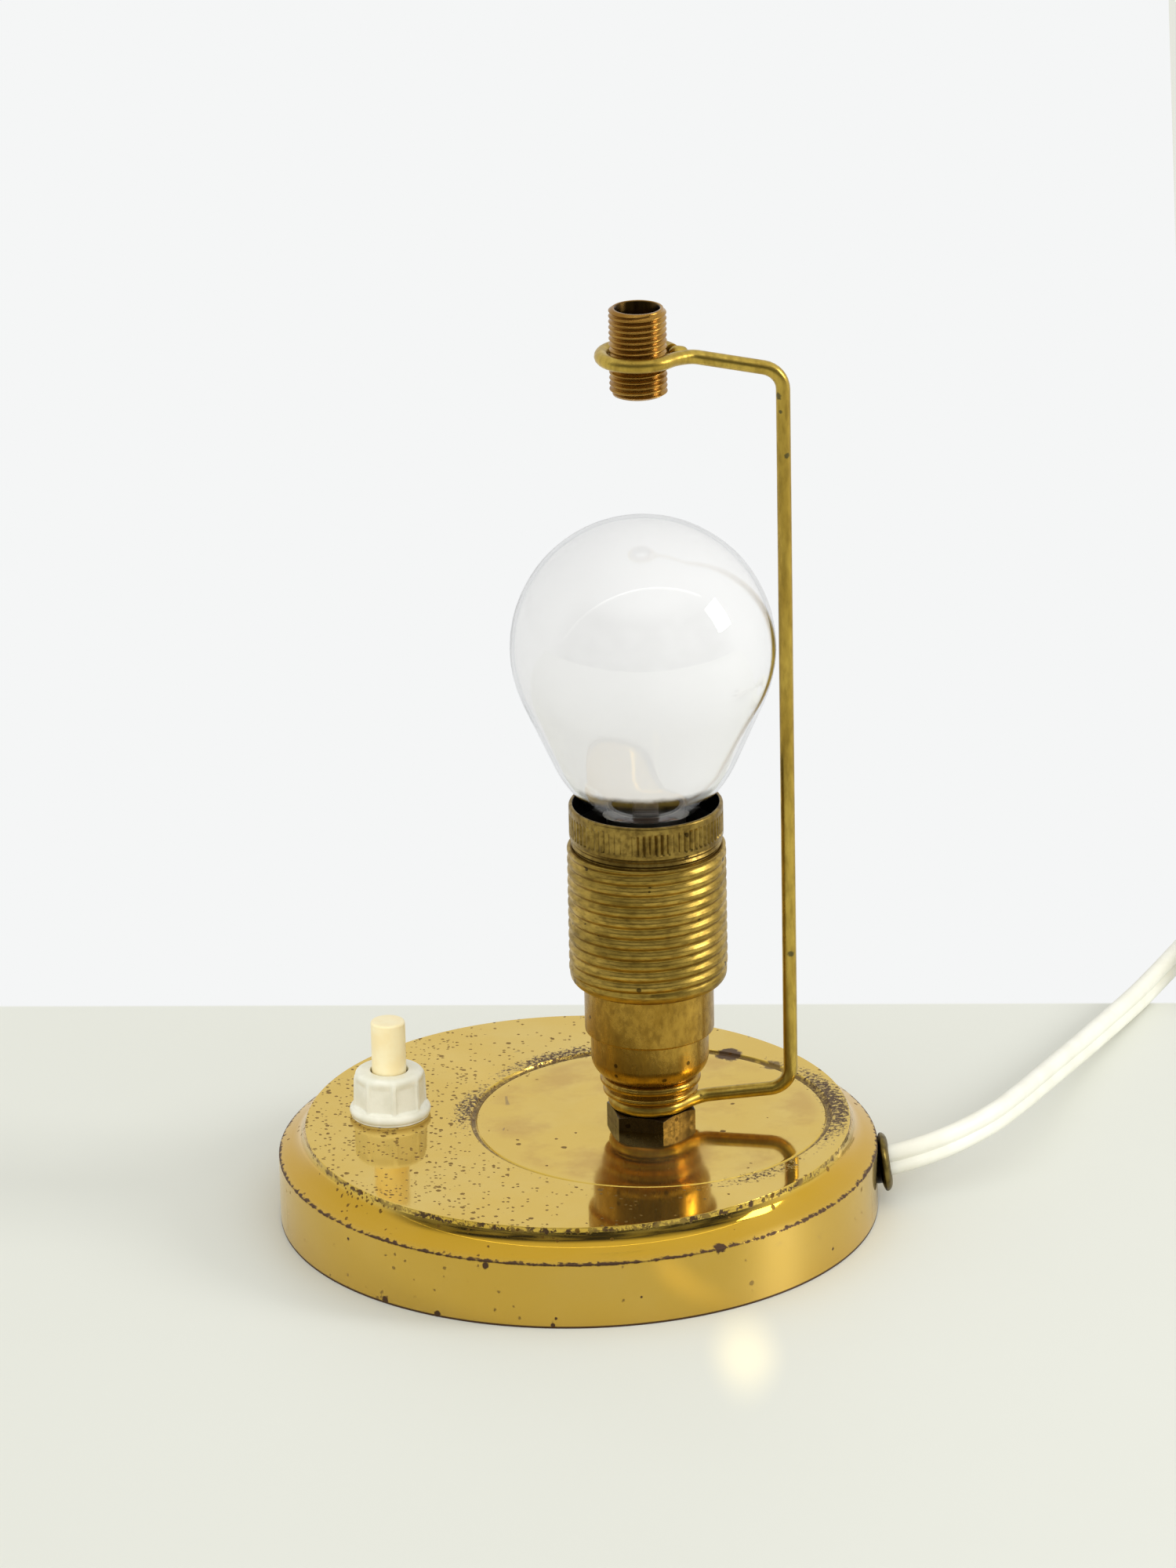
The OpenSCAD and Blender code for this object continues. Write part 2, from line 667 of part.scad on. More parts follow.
// Ceramic insert with a well for the screw shell and holes for the wires.
module socket_core() {
    color("#e9e6dc") at_lamp() difference() {
        translate([0, 0, cap_top]) cylinder(r = core_r, h = core_top - cap_top);
        translate([0, 0, core_floor]) cylinder(r = recess_r, h = core_top);
        for (s = [-1, 1]) translate([0, s * 9.4, cap_top - 1]) cylinder(r = 1.5, h = 6);
    }
}

module screw_shell() {
    r = shell_in_r + shell_wall;
    color("#b4763a") at_lamp() translate([0, 0, core_floor]) difference() {
        union() {
            cylinder(r = recess_r - 0.1, h = shell_wall);
            cylinder(r = r, h = shell_top - core_floor);
        }
        translate([0, 0, -1]) cylinder(r = shell_in_r - 0.6, h = 3);
        translate([0, 0, shell_wall]) cylinder(r = shell_in_r, h = shell_top);
    }
}

// Spring tongue under the bulb's contact.
module centre_contact() {
    t = 0.4;
    w = 3;
    tongue = contact_z - core_floor;
    color("#c9a35a") at_lamp() translate([-5.5, -w / 2, core_floor]) union() {
        cube([8, w, t]);
        translate([8 - t, 0, 0]) cube([t, w, tongue]);
        translate([3.5, 0, tongue - t]) cube([4.5, w, t]);
    }
}

module terminal_posts() {
    color("#c0a050") at_lamp() for (s = [-1, 1]) translate([s * post_at, 0, cap_top - post_h])
        cylinder(r = post_r, h = post_h);
}

module terminal_screws() {
    color("#b5b3a8") at_lamp() for (s = [-1, 1]) translate([s * post_at, 0, cap_top - post_h / 2])
        rotate([90, 0, 0]) translate([0, 0, post_r]) difference() {
            cylinder(r = 1.3, h = 1.1);
            translate([-2, -0.25, 0.6]) cube([4, 0.5, 1]);
        }
}

// bulb

// Half outline of the glass: globe, tapered flank, rounded neck and the seal inside the cap.
module glass_outline(inset) {
    r = globe_d / 2 - inset;
    seal = bulb_cap_d / 2 - bulb_cap_wall - inset;
    foot = neck_z + inset;
    mid = [neck_in, neck_mid_z];
    neck_r = neck_round - inset;
    sunk = 0.1;     // the flank starts this far inside the globe, so that they cross
    low = asin((mid.y - foot) / neck_r);
    intersection() {
        union() {
            translate([0, globe_z]) circle(r = r);
            // flank from the globe, then the neck's round in eight cones
            polygon(concat([[0, foot]],
                [for (i = [8:-1:0]) let (a = taper + (low - taper) * i / 8) mid + neck_r * [cos(a), -sin(a)]],
                [[(r - sunk) * cos(taper), globe_z - (r - sunk) * sin(taper)], [0, globe_z]]));
            translate([0, bulb_cap_z + 6 + inset]) square([seal, globe_z - bulb_cap_z - 6 - inset]);
        }
        translate([0, 0]) square([globe_d, globe_z + globe_d]);
    }
}

module bulb_glass() {
    color([0.95, 0.95, 0.93, 0.5]) at_lamp() rotate_extrude() difference() {
        glass_outline(0);
        glass_outline(glass_t);
    }
}

module bulb_cap() {
    r = bulb_cap_d / 2;
    wall = bulb_cap_wall;
    color("#a9a9a4") at_lamp() translate([0, 0, bulb_cap_z]) rotate_extrude()
        polygon([[r - 1.2, 0], [r - 0.6, 0], [r, 0.8], [r, bulb_cap_l], [r - wall, bulb_cap_l],
            [r - wall, 1], [r - 1.2, 0.6]]);
}

module bulb_insulator() {
    r = bulb_cap_d / 2 - 1.2;
    color("#1d1b1b") at_lamp() translate([0, 0, bulb_cap_z - insulator_h]) rotate_extrude()
        polygon([[0, 0], [contact_r + 0.4, 0], [r, insulator_h], [r, insulator_h + 1.6], [0, insulator_h + 1.6]]);
}

// Solder contact with a rounded edge.
module bulb_contact() {
    edge = 0.5;
    color("#b9b9b5") at_lamp() translate([0, 0, contact_z]) rotate_extrude() polygon([[0, 0],
        [contact_r - edge, 0], [contact_r, edge], [contact_r, contact_h], [0, contact_h]]);
}

// Glass stem with the two wires that hold the filament.
module bulb_mount() {
    stem_z = bulb_cap_z + 6 + glass_t;
    stem_h = globe_z - 12 - stem_z;
    color("#cfd2d0") at_lamp() {
        translate([0, 0, stem_z]) rotate_extrude() polygon([[0, 0], [4.6, 0], [mount_r, 4],
            [mount_r * 0.7, stem_h], [0, stem_h]]);
        for (s = [-1, 1]) mount_wire([s, 0, stem_z + stem_h - 1], [s * filament_w / 2, 0, globe_z]);
    }
}

module mount_wire(p, q) {
    d = q - p;
    translate(p) rotate([0, atan2(d.x, d.z), 0]) cylinder(r = 0.35, h = norm(d), $fn = 16);
    translate(q) sphere(r = 0.5, $fn = 16);
}

module filament() {
    sag = 2;
    n = 10;
    span = filament_w / 2 - 0.5;
    pts = [for (i = [0:n]) let (u = i / n * 2 - 1) [u * span, 0, globe_z - sag * (1 - u * u)]];
    color("#6b6b68") at_lamp() sweep(pts, round_section(0.25, 6), [1, 0, 0], [1, 0, 0], [0, 1, 0]);
}

// switch

module switch_body() {
    body_r = switch_body_d / 2;
    bore = button_foot_r + moving_gap;
    color("#e4ddc8") at_switch() difference() {
        union() {
            translate([0, 0, body_z]) cylinder(r = body_r, h = switch_body_h);
            translate([0, 0, body_z]) cylinder(r = switch_neck_d / 2, h = neck_top - body_z);
        }
        translate([0, 0, switch_floor]) cylinder(r = bore, h = button_foot_z + button_foot_h + 0.2 - switch_floor);
        translate([0, 0, switch_floor]) cylinder(r = button_r + running_fit, h = button_top);
    }
}

// Fluted collar that screws over the switch's neck and clamps it to the plate.
module switch_collar() {
    r1 = flange_d / 2;
    r2 = flute_d / 2;
    shrink = 0.3;
    edge = 1.3;
    panel_r = r2 - panel_depth;
    panel_a = 360 / panels;
    panel_z = base_h + flange_h;
    panel_h = ring_h - flange_h - 1.7;
    color("#d9d4c6") at_switch() difference() {
        rotate_extrude() difference() {
            union() {
                translate([0, base_h]) square([r1 - flange_h / 2, flange_h]);
                translate([r1 - flange_h / 2, base_h + flange_h / 2]) circle(r = flange_h / 2, $fn = 32);
                polygon([[0, base_h + 0.5], [r2, base_h + 0.5], [r2 - shrink, ring_top - edge], [0, ring_top - edge]]);
                translate([r2 - shrink - edge, ring_top - edge]) circle(r = edge, $fn = 32);
                translate([0, ring_top - edge - eps]) square([r2 - shrink - edge, edge + eps]);
            }
            translate([-1, base_h - 1]) square([switch_neck_d / 2 + thread_fit + 1, ring_h + 1 - ring_roof]);
            translate([-1, base_h]) square([button_r + moving_gap + 1, ring_h + 1]);
        }
        // sunk panels with arched heads, between narrow ribs
        for (i = [0:panels - 1]) rotate(i * panel_a + 31) intersection() {
            translate([0, 0, panel_z]) difference() {
                cylinder(r = r1 + 1, h = ring_h);
                translate([0, 0, -1]) cylinder(r = panel_r, h = ring_h + 2);
            }
            hull_panel(panel_r * sin(panel_a / 2) - 0.4, panel_z, panel_h);
        }
    }
}

// Prism with a round head that cuts one panel, standing out along +X.
module hull_panel(half, z, h) {
    rise = 1.2;
    head_r = (half * half + rise * rise) / (2 * rise);
    translate([2, 0, z]) rotate([90, 0, 90]) linear_extrude(10) intersection() {
        translate([-half, 0]) square([2 * half, h]);
        translate([0, h - head_r]) circle(r = head_r + eps);
    }
}

module switch_plunger() {
    edge = 0.6;
    color("#f0e0b4") at_switch() rotate_extrude() union() {
        translate([0, button_foot_z]) square([button_foot_r, button_foot_h]);
        translate([0, button_foot_z]) square([button_r, button_top - edge - button_foot_z]);
        translate([0, button_foot_z]) square([button_r - edge, button_top - button_foot_z]);
        intersection() {
            translate([button_r - edge, button_top - edge]) circle(r = edge, $fn = 32);
            translate([0, button_top - edge]) square([button_r, edge]);
        }
    }
}

module contact_bridge() {
    color("#c9a35a") at_switch() translate([0, 0, button_foot_z - bridge_t]) cylinder(r = button_foot_r, h = bridge_t);
}

// Coil spring under the button, as one unbroken wire.
module switch_spring() {
    spring_wire = 0.3;
    spring_r = button_foot_r - 0.8;
    curls = 5;
    low = switch_floor + spring_wire + 0.05;
    high = button_foot_z - bridge_t - spring_wire - 0.15;
    n = curls * 12;
    pts = [for (i = [0:n]) [spring_r * cos(30 * i), spring_r * sin(30 * i), low + (high - low) * i / n]];
    color("#8f9092") at_switch() sweep(pts, round_section(spring_wire, 6), pts[1] - pts[0], pts[n] - pts[n - 1]);
}

module switch_terminals() {
    color("#c0a050") at_switch() for (s = [-1, 1]) translate([0, s * terminal_out, body_z - terminal_h])
        cylinder(r = terminal_r, h = terminal_h);
}

// lead, its bush and the wires inside

// Dished bush: a domed washer on a short neck through the wall.
module cord_bush() {
    r = bush_d / 2;
    dome_r = (r * r + bush_dish * bush_dish) / (2 * bush_dish);
    color("#6e6230") at_bush() rotate_extrude() difference() {
        union() {
            intersection() {
                translate([0, bush_dish - dome_r]) circle(r = dome_r);
                square([r, bush_dish]);
            }
            translate([0, -bush_neck_l]) square([bush_neck_r, bush_neck_l + eps]);
        }
        translate([-1, -bush_d]) square([bush_bore_d / 2 + 1, 2 * bush_d]);
        translate([bush_neck_r + 0.4, -eps]) square([r - bush_neck_r - 1, 0.5]);
    }
}

// Flat clip that holds the bush, pushed over its neck inside the wall.
module bush_clip() {
    color("#a8924c") at_bush() translate([0, 0, -bush_clip_in - bush_clip_t]) difference() {
        translate([-bush_clip_h / 2, -bush_clip_w / 2, 0]) cube([bush_clip_h, bush_clip_w, bush_clip_t]);
        translate([0, 0, -1]) cylinder(r = bush_neck_r + thread_fit, h = bush_clip_t + 2);
    }
}

// Saddle that holds the lead down on the cover, inside the weight's way in.
module cord_saddle() {
    l = 4;
    w = 2 * slot_y - 0.4;
    h = 7.2;
    z = lead_route[0].z - 0.5;
    color("#ddd8c8") translate([saddle_x - l / 2, -w / 2, cover_top]) difference() {
        cube([l, w, h]);
        translate([-1, (w - lead_t) / 2 - 0.1, -1])
            cube([l + 2, lead_t + 0.2, z + lead_w / 2 + 0.1 - cover_top + 1]);
    }
}

module cord_inner() {
    z = lead_route[0].z;
    pts = [[split_x, 0, split_z], [split_x + 5, 0, z - 0.5], [split_x + 10, 0, z - 0.4], lead_route[0]];
    color("#eeebdc") sweep(pts, lead_section, [1, 0, 0], lead_route[1] - lead_route[0]);
}

// Wire from the lead to the lampholder.
module wire_neutral() {
    pts = [[split_x - 0.4, 0, split_z + 1.6], [split_x - 3, 0, split_z + 0.8],
        [split_x - 5.5, lamp_y / 2, split_z - 0.8], [lamp_x + 9, lamp_y, wire_z + 0.1],
        [lamp_x + 4.6, lamp_y, wire_z], [lamp_x + 2.3, lamp_y, wire_z + 0.7],
        [lamp_x + wire_at, lamp_y, wire_z + 2.9], [lamp_x + wire_at, lamp_y, (wire_z + tube_top) / 2],
        [lamp_x + wire_at, lamp_y, tube_top - 1], [lamp_x + 3.5, lamp_y, tube_top + 4.2],
        [lamp_x + post_at, lamp_y, post_z]];
    color("#d7d3c4") sweep(pts, round_section(wire_r, 8), pts[1] - pts[0], [0, 0, 1], [0, 1, 0]);
}

// Wire from the lead to the switch, round the front of the washer.
module wire_live() {
    x = switch_at.x;
    y = switch_at.y - terminal_out;
    pts = [[split_x - 0.4, 0, split_z - 1.4], [split_x - 3, -0.8, wire_z + 0.2], [split_x - 6, -4, wire_z],
        [lamp_x + 6, -8.5, wire_z], [lamp_x - 1, -11.5, wire_z], [lamp_x - 10, -11, wire_z],
        [x + 25.2, -8, wire_z], [x + 13.2, -4, wire_z], [x + 5.2, y - 0.5, wire_z], [x + 2, y, wire_z]];
    color("#7a3f2c") sweep(pts, round_section(wire_r, 8), pts[1] - pts[0], [-1, 0, 0]);
}

// Wire from the switch back to the lampholder.
module wire_switched() {
    x = switch_at.x;
    y = switch_at.y + terminal_out;
    pts = [[x + 2, y, wire_z], [x + 7.2, y - 0.7, wire_z], [x + 17.2, 6, wire_z], [lamp_x - 19, 2.6, wire_z],
        [lamp_x - 11, 0.9, wire_z], [lamp_x - 4.6, lamp_y, wire_z], [lamp_x - 2.3, lamp_y, wire_z + 0.7],
        [lamp_x - wire_at, lamp_y, wire_z + 2.9], [lamp_x - wire_at, lamp_y, (wire_z + tube_top) / 2],
        [lamp_x - wire_at, lamp_y, tube_top - 1], [lamp_x - 3.5, lamp_y, tube_top + 4.2],
        [lamp_x - post_at, lamp_y, post_z]];
    color("#7a3f2c") sweep(pts, round_section(wire_r, 8), pts[1] - pts[0], [0, 0, 1], [0, 1, 0]);
}

// The coil's middle line: u counts turns, spiralling in below and out above.
function coil_in(u) = min(u, coil_turns - u);
function climb(u) = let (s = max(0, min(1, (u - coil_turns / 2) * 2 + 0.5))) s * s * (3 - 2 * s);
function coil_at(u) = let (a = coil_start - 360 * u, r = coil_r - side_pitch * coil_in(u))
    coil_mid + [r * cos(a), r * sin(a), lead_w / 2 + layer_pitch * climb(u)];
function coil_way(u) = let (a = coil_start - 360 * u) [sin(a), -cos(a), 0];
coil_head = coil_at(0) - lead_w * coil_way(0);
coil_end = coil_at(coil_turns) + lead_w * coil_way(coil_turns);
coil_line = concat([coil_head], [for (i = [0:coil_rings]) coil_at(coil_turns * i / coil_rings)], [coil_end]);

// Least distance between points of the coil's surface that lie half a turn or more apart.
function coil_least_gap() = let (
        dirs = directions(coil_line, coil_way(0), coil_way(coil_turns)),
        rings = [for (i = [0:len(coil_line) - 1]) ring(coil_line[i], dirs[i], [0, 0, 1], lead_loop_section)],
        n = len(rings))
    min([for (i = [0:n - 13], j = [i + 12:n - 1])
        if (norm(coil_line[i] - coil_line[j]) < 3 * lead_w) min([for (p = rings[i], q = rings[j]) norm(p - q)])]);

module cord_lead() {
    color("#f1efe2") sweep(concat(lead_route, [coil_head]), lead_section,
        lead_route[1] - lead_route[0], coil_way(0));
}

module cord_coil() {
    echo(coil_least_gap = coil_least_gap());
    color("#f1efe2") sweep(coil_line, lead_loop_section, coil_way(0), coil_way(coil_turns));
}

module cord_tail() {
    color("#f1efe2") sweep(concat([coil_end], tail_route, [plug_at]), lead_section,
        coil_way(coil_turns), [0, -1, 0]);
}

// plug

// Flat two-pin plug: a tapered boot, a body that widens to its face, and grip ribs on both sides.
module plug_body() {
    face = plug_w / 2;
    neck = 5.4;
    flare = 9;
    grip = 0.6;
    rib = 1.4;
    color("#efece0") translate([plug_at.x, plug_at.y, 0]) rotate(180) difference() {
        union() {
            intersection() {
                linear_extrude(plug_h) polygon([[-neck, boot_l], [-face, boot_l + flare], [-face, plug_end],
                    [face, plug_end], [face, boot_l + flare], [neck, boot_l]]);
                translate([0, boot_l - 1, plug_h / 2]) rotate([-90, 0, 0]) plug_round(face, plug_end);
            }
            translate([0, 0, plug_h / 2]) rotate([-90, 0, 0])
                cylinder(r1 = lead_w / 2 + 0.9, r2 = neck, h = boot_l + 3);
        }
        // grip ribs
        for (i = [0:3], z = [grip / 2 - 1, plug_h + 1 - grip / 2]) translate([0, boot_l + flare + 1 + i * 3, z])
            cube([plug_w * 0.6, rib, 2], center = true);
        // rings round the boot, which let it bend
        for (i = [0:3]) translate([0, 4 + i * 4, plug_h / 2]) rotate([-90, 0, 0]) difference() {
            cylinder(r = plug_h, h = 1.2);
            translate([0, 0, -1]) cylinder(r = lead_w / 2 + 0.6 + i * 0.4, h = 4);
        }
        translate([0, -1, plug_h / 2]) cube([lead_t + 0.2, 2.2, lead_w + 0.2], center = true);
        for (s = [-1, 1]) translate([s * pin_gap / 2, plug_end - pin_in, plug_h / 2]) rotate([-90, 0, 0])
            cylinder(r = pin_shank_r + thread_fit, h = pin_in + 1);
    }
}

// Rounded long section of the plug, as one extrusion along +Z.
module plug_round(face, l) {
    r = 3;
    linear_extrude(l) union() {
        square([2 * face, plug_h - 2 * r], center = true);
        square([2 * face - 2 * r, plug_h], center = true);
        for (x = [-1, 1], y = [-1, 1]) translate([x * (face - r), y * (plug_h / 2 - r)]) circle(r = r, $fn = 32);
    }
}

module plug_pins() {
    nose = 0.8;
    color("#b9b7ad") translate([plug_at.x, plug_at.y - plug_end, plug_at.z]) rotate([90, 0, 0])
        for (s = [-1, 1]) translate([s * pin_gap / 2, 0, 0]) {
            translate([0, 0, -pin_in]) cylinder(r = pin_shank_r, h = pin_in + 1);
            cylinder(d = pin_d, h = pin_l - nose);
            translate([0, 0, pin_l - nose]) cylinder(d1 = pin_d, d2 = pin_d - 2 * nose, h = nose);
        }
}

base_shell();
base_weight();
bottom_cover();
cover_screws();
felt_pad();
stem_tube();
stem_nut();
stem_washer();
stem_locknut();
rod();
top_nipple();
socket_cap();
socket_sleeve();
socket_collar();
socket_core();
screw_shell();
centre_contact();
terminal_posts();
terminal_screws();
bulb_glass();
bulb_cap();
bulb_insulator();
bulb_contact();
bulb_mount();
filament();
switch_body();
switch_collar();
switch_plunger();
contact_bridge();
switch_spring();
switch_terminals();
cord_bush();
bush_clip();
cord_saddle();
cord_inner();
wire_neutral();
wire_live();
wire_switched();
cord_lead();
cord_coil();
cord_tail();
plug_body();
plug_pins();
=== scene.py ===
import math
from functools import partial

import bmesh
import bpy
from mathutils import Matrix, Vector, noise


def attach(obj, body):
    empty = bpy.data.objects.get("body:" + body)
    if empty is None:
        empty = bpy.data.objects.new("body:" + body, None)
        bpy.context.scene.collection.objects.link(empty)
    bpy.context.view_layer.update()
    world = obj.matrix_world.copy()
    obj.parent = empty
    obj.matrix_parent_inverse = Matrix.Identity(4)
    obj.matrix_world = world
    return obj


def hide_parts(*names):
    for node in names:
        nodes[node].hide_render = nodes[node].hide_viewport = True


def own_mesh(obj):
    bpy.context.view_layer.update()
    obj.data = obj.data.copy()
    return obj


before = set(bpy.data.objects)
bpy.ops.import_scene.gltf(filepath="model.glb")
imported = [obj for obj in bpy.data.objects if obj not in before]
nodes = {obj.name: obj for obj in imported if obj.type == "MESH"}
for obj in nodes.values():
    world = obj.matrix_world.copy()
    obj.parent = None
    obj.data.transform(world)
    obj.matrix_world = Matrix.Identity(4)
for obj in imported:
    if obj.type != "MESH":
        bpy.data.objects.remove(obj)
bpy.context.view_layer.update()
print("packed lamp loaded")

mm = 0.001
lampAxis = (13.0, 0.6)      # upright axis of tube, holder, bulb and nipple
switchAxis = (-33.2, 4.2)


# small helpers for every piece

def linear(code):
    # sRGB hex to the linear colour that sockets take
    parts = [int(code[i:i + 2], 16) / 255 for i in (1, 3, 5)]
    return tuple(c / 12.92 if c <= 0.04045 else ((c + 0.055) / 1.055) ** 2.4 for c in parts) + (1.0,)


def takeHold(piece):
    # makes it the one selected and active object
    bpy.ops.object.select_all(action="DESELECT")
    piece.select_set(True)
    bpy.context.view_layer.objects.active = piece


def editMode(on=True):
    bpy.ops.object.mode_set(mode="EDIT" if on else "OBJECT")


def pickEdges(piece, test):
    # in edit mode, selects the edges that pass the test
    mesh = bmesh.from_edit_mesh(piece.data)
    for part in list(mesh.faces) + list(mesh.edges) + list(mesh.verts):
        part.select = False
    for edge in mesh.edges:
        if test(edge):
            edge.select_set(True)
    bmesh.update_edit_mesh(piece.data)


def applyPlace(piece):
    # moves the object's place, turn and scale into its mesh
    takeHold(piece)
    bpy.ops.object.transform_apply(location=True, rotation=True, scale=True)


def joinTo(piece, other):
    takeHold(piece)
    other.select_set(True)
    bpy.ops.object.join()


def faceOut():
    # in edit mode, turns all faces outwards
    bpy.ops.mesh.select_all(action="SELECT")
    bpy.ops.mesh.normals_make_consistent(inside=False)
    editMode(False)


def applyModifier(piece, kind, **settings):
    takeHold(piece)
    modifier = piece.modifiers.new("finish", kind)
    for key, value in settings.items():
        setattr(modifier, key, value)
    bpy.ops.object.modifier_apply(modifier=modifier.name)


def tidyMesh(piece, gap=1e-6):
    takeHold(piece)
    editMode()
    bpy.ops.mesh.select_all(action="SELECT")
    bpy.ops.mesh.remove_doubles(threshold=gap)
    faceOut()


def arc(middle, radius, start, end, count):
    # points of an arc in the outline's plane, angles in degrees
    return [(middle[0] + radius * math.cos(math.radians(start + (end - start) * i / count)),
             middle[1] + radius * math.sin(math.radians(start + (end - start) * i / count)))
            for i in range(count + 1)]


def softened(corners, count=4):
    # corners are (radius, height) or (radius, height, rounding); a rounding becomes a short arc
    outline = []
    for i, corner in enumerate(corners):
        here = Vector(corner[:2])
        if len(corner) == 2 or not 0 < i < len(corners) - 1:
            outline.append(tuple(here))
            continue
        back = (Vector(corners[i - 1][:2]) - here).normalized()
        on = (Vector(corners[i + 1][:2]) - here).normalized()
        half = back.angle(on) / 2
        middle = here + (back + on).normalized() * (corner[2] / math.sin(half))
        first = here + back * (corner[2] / math.tan(half)) - middle
        last = here + on * (corner[2] / math.tan(half)) - middle
        turn = first.angle(last)
        for k in range(count + 1):
            t = k / count
            spoke = (first * math.sin((1 - t) * turn) + last * math.sin(t * turn)) / math.sin(turn)
            outline.append(tuple(middle + spoke))
    return outline


def wire(name, outline, axis):
    # a chain of edges in the plane through the axis, drawn point by point
    bpy.ops.mesh.primitive_plane_add(size=mm, location=(axis[0] * mm, axis[1] * mm, 0))
    piece = bpy.context.object
    piece.name = name
    piece.data.name = name
    editMode()
    bpy.ops.mesh.merge(type="CENTER")
    last = (0.0, 0.0)
    for i, (radius, height) in enumerate(outline):
        step = ((radius - last[0]) * mm, 0, (height - last[1]) * mm)
        if i == 0:
            bpy.ops.transform.translate(value=step)
        else:
            bpy.ops.mesh.extrude_region_move(TRANSFORM_OT_translate={"value": step})
        last = (radius, height)
    editMode(False)
    return piece


def lathe(name, outline, axis, steps):
    # the outline, (radius, height) in mm, spun into a closed surface
    piece = wire(name, outline, axis)
    editMode()
    bpy.ops.mesh.select_all(action="SELECT")
    bpy.ops.mesh.spin(steps=steps, angle=2 * math.pi, center=(axis[0] * mm, axis[1] * mm, 0), axis=(0, 0, 1))
    editMode(False)
    tidyMesh(piece)
    return piece


def cutWith(piece, cutter, operation="DIFFERENCE"):
    applyModifier(piece, "BOOLEAN", object=cutter, operation=operation, solver="MANIFOLD")
    bpy.data.objects.remove(cutter)


def drill(piece, radius, depth, place, turn, around=64):
    # a round hole about an axis turned by so many degrees from upright, sizes in mm
    tilt = [math.radians(t) for t in turn]
    bpy.ops.mesh.primitive_cylinder_add(vertices=around, radius=radius * mm, depth=depth * mm,
                                        location=[c * mm for c in place], rotation=tilt)
    cutWith(piece, bpy.context.object)


def bentWire(name, points, radius, resolution):
    # a round wire along points in mm, closed at both ends
    bpy.ops.curve.primitive_bezier_curve_add()
    piece = bpy.context.object
    piece.name = name
    line = piece.data
    line.splines.clear()
    spline = line.splines.new("POLY")
    spline.points.add(len(points) - 1)
    for point, place in zip(spline.points, points):
        point.co = (*(c * mm for c in place), 1)
    line.dimensions = "3D"
    line.bevel_depth = radius * mm
    line.bevel_resolution = resolution
    line.use_fill_caps = True
    takeHold(piece)
    bpy.ops.object.convert(target="MESH")
    tidyMesh(piece, 1e-7)
    return piece


def growRing(piece, axis, places):
    # extrudes the selected open edge loop to each (radius, height) in turn, round the axis
    for radius, height in places:
        bpy.ops.mesh.extrude_edges_move()
        mesh = bmesh.from_edit_mesh(piece.data)
        for vert in mesh.verts:
            if vert.select:
                world = piece.matrix_world @ vert.co
                middle = Vector((axis[0] * mm, axis[1] * mm, 0))
                spoke = Vector((world.x - middle.x, world.y - middle.y, 0)).normalized() * (radius * mm)
                vert.co = piece.matrix_world.inverted() @ (middle + spoke + Vector((0, 0, height * mm)))
        bmesh.update_edit_mesh(piece.data)


def finishPiece(piece, body, material, replaced, sharp, weighted=True):
    # edges steeper than sharp degrees stay hard
    applyPlace(piece)
    bpy.ops.object.shade_smooth_by_angle(angle=math.radians(sharp))
    if weighted:
        applyModifier(piece, "WEIGHTED_NORMAL", keep_sharp=True, weight=60)
    piece.data.materials.clear()
    piece.data.materials.append(material)
    if replaced:
        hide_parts(*replaced)
    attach(piece, body)


# camera, at the photograph's angle: place and lens in mm, lift in degrees, roll in radians

cameraSettings = {"place": (3.0, -1360.7, 591.3), "lift": 20.6, "roll": -0.02, "lens": 191.59}

bpy.ops.object.camera_add()
camera = bpy.context.object
camera.name = "photoCamera"
lift = math.radians(cameraSettings["lift"])
roll = cameraSettings["roll"]
back = Vector((0, -math.cos(lift), math.sin(lift)))
upward = Vector((0, math.sin(lift), math.cos(lift)))
across = Vector((1, 0, 0))
turned = Matrix((across * math.cos(roll) + upward * math.sin(roll),
                 upward * math.cos(roll) - across * math.sin(roll), back)).transposed()
camera.matrix_world = Matrix.Translation(Vector(cameraSettings["place"]) * mm) @ turned.to_4x4()
camera.data.sensor_width = 36
camera.data.lens = cameraSettings["lens"]
camera.data.clip_start = 0.05
camera.data.clip_end = 20
bpy.context.scene.camera = camera


# materials, made of nodes that one function adds

def addNode(tree, kind, inputs=(), out=0, **settings):
    # adds a node and gives one of its outputs, or all of them; a maths node goes by its operation, a vector
    # one by its kind and operation, and each input, by place or by name, is a value, a colour's hex or an
    # output to link from
    if kind.isupper():
        kind = "Math " + kind
    kind, _, operation = kind.partition(" ")
    node = tree.nodes.new("ShaderNode" + kind)
    if operation:
        node.operation = operation
    for key, value in settings.items():
        setattr(node, key, value)
    for key, value in inputs.items() if isinstance(inputs, dict) else enumerate(inputs):
        if isinstance(value, bpy.types.NodeSocket):
            tree.links.new(value, node.inputs[key])
        else:
            node.inputs[key].default_value = linear(value) if isinstance(value, str) else value
    return node.outputs if out is None else node.outputs[out]


# settings that many nodes share: a range with soft ends, and a mix of two colours
smooth = {"interpolation_type": "SMOOTHSTEP"}
asColour = {"data_type": "RGBA", "out": 2}


def startTree(owner):
    # gives the function that adds nodes to the owner's own tree
    owner.use_nodes = True
    owner.node_tree.nodes.clear()
    return partial(addNode, owner.node_tree)


def startMaterial(name):
    material = bpy.data.materials.new(name)
    add = startTree(material)
    return material, add, add("TexCoord", out="Object")


def grain(add, place, size, detail=2.0, rough=0.5, stretch=(1, 1, 1)):
    # noise whose lumps are about size mm across
    at = add("Mapping", {"Vector": place, "Scale": stretch})
    return add("TexNoise", {"Vector": at, "Scale": 1000 / size, "Detail": detail, "Roughness": rough})


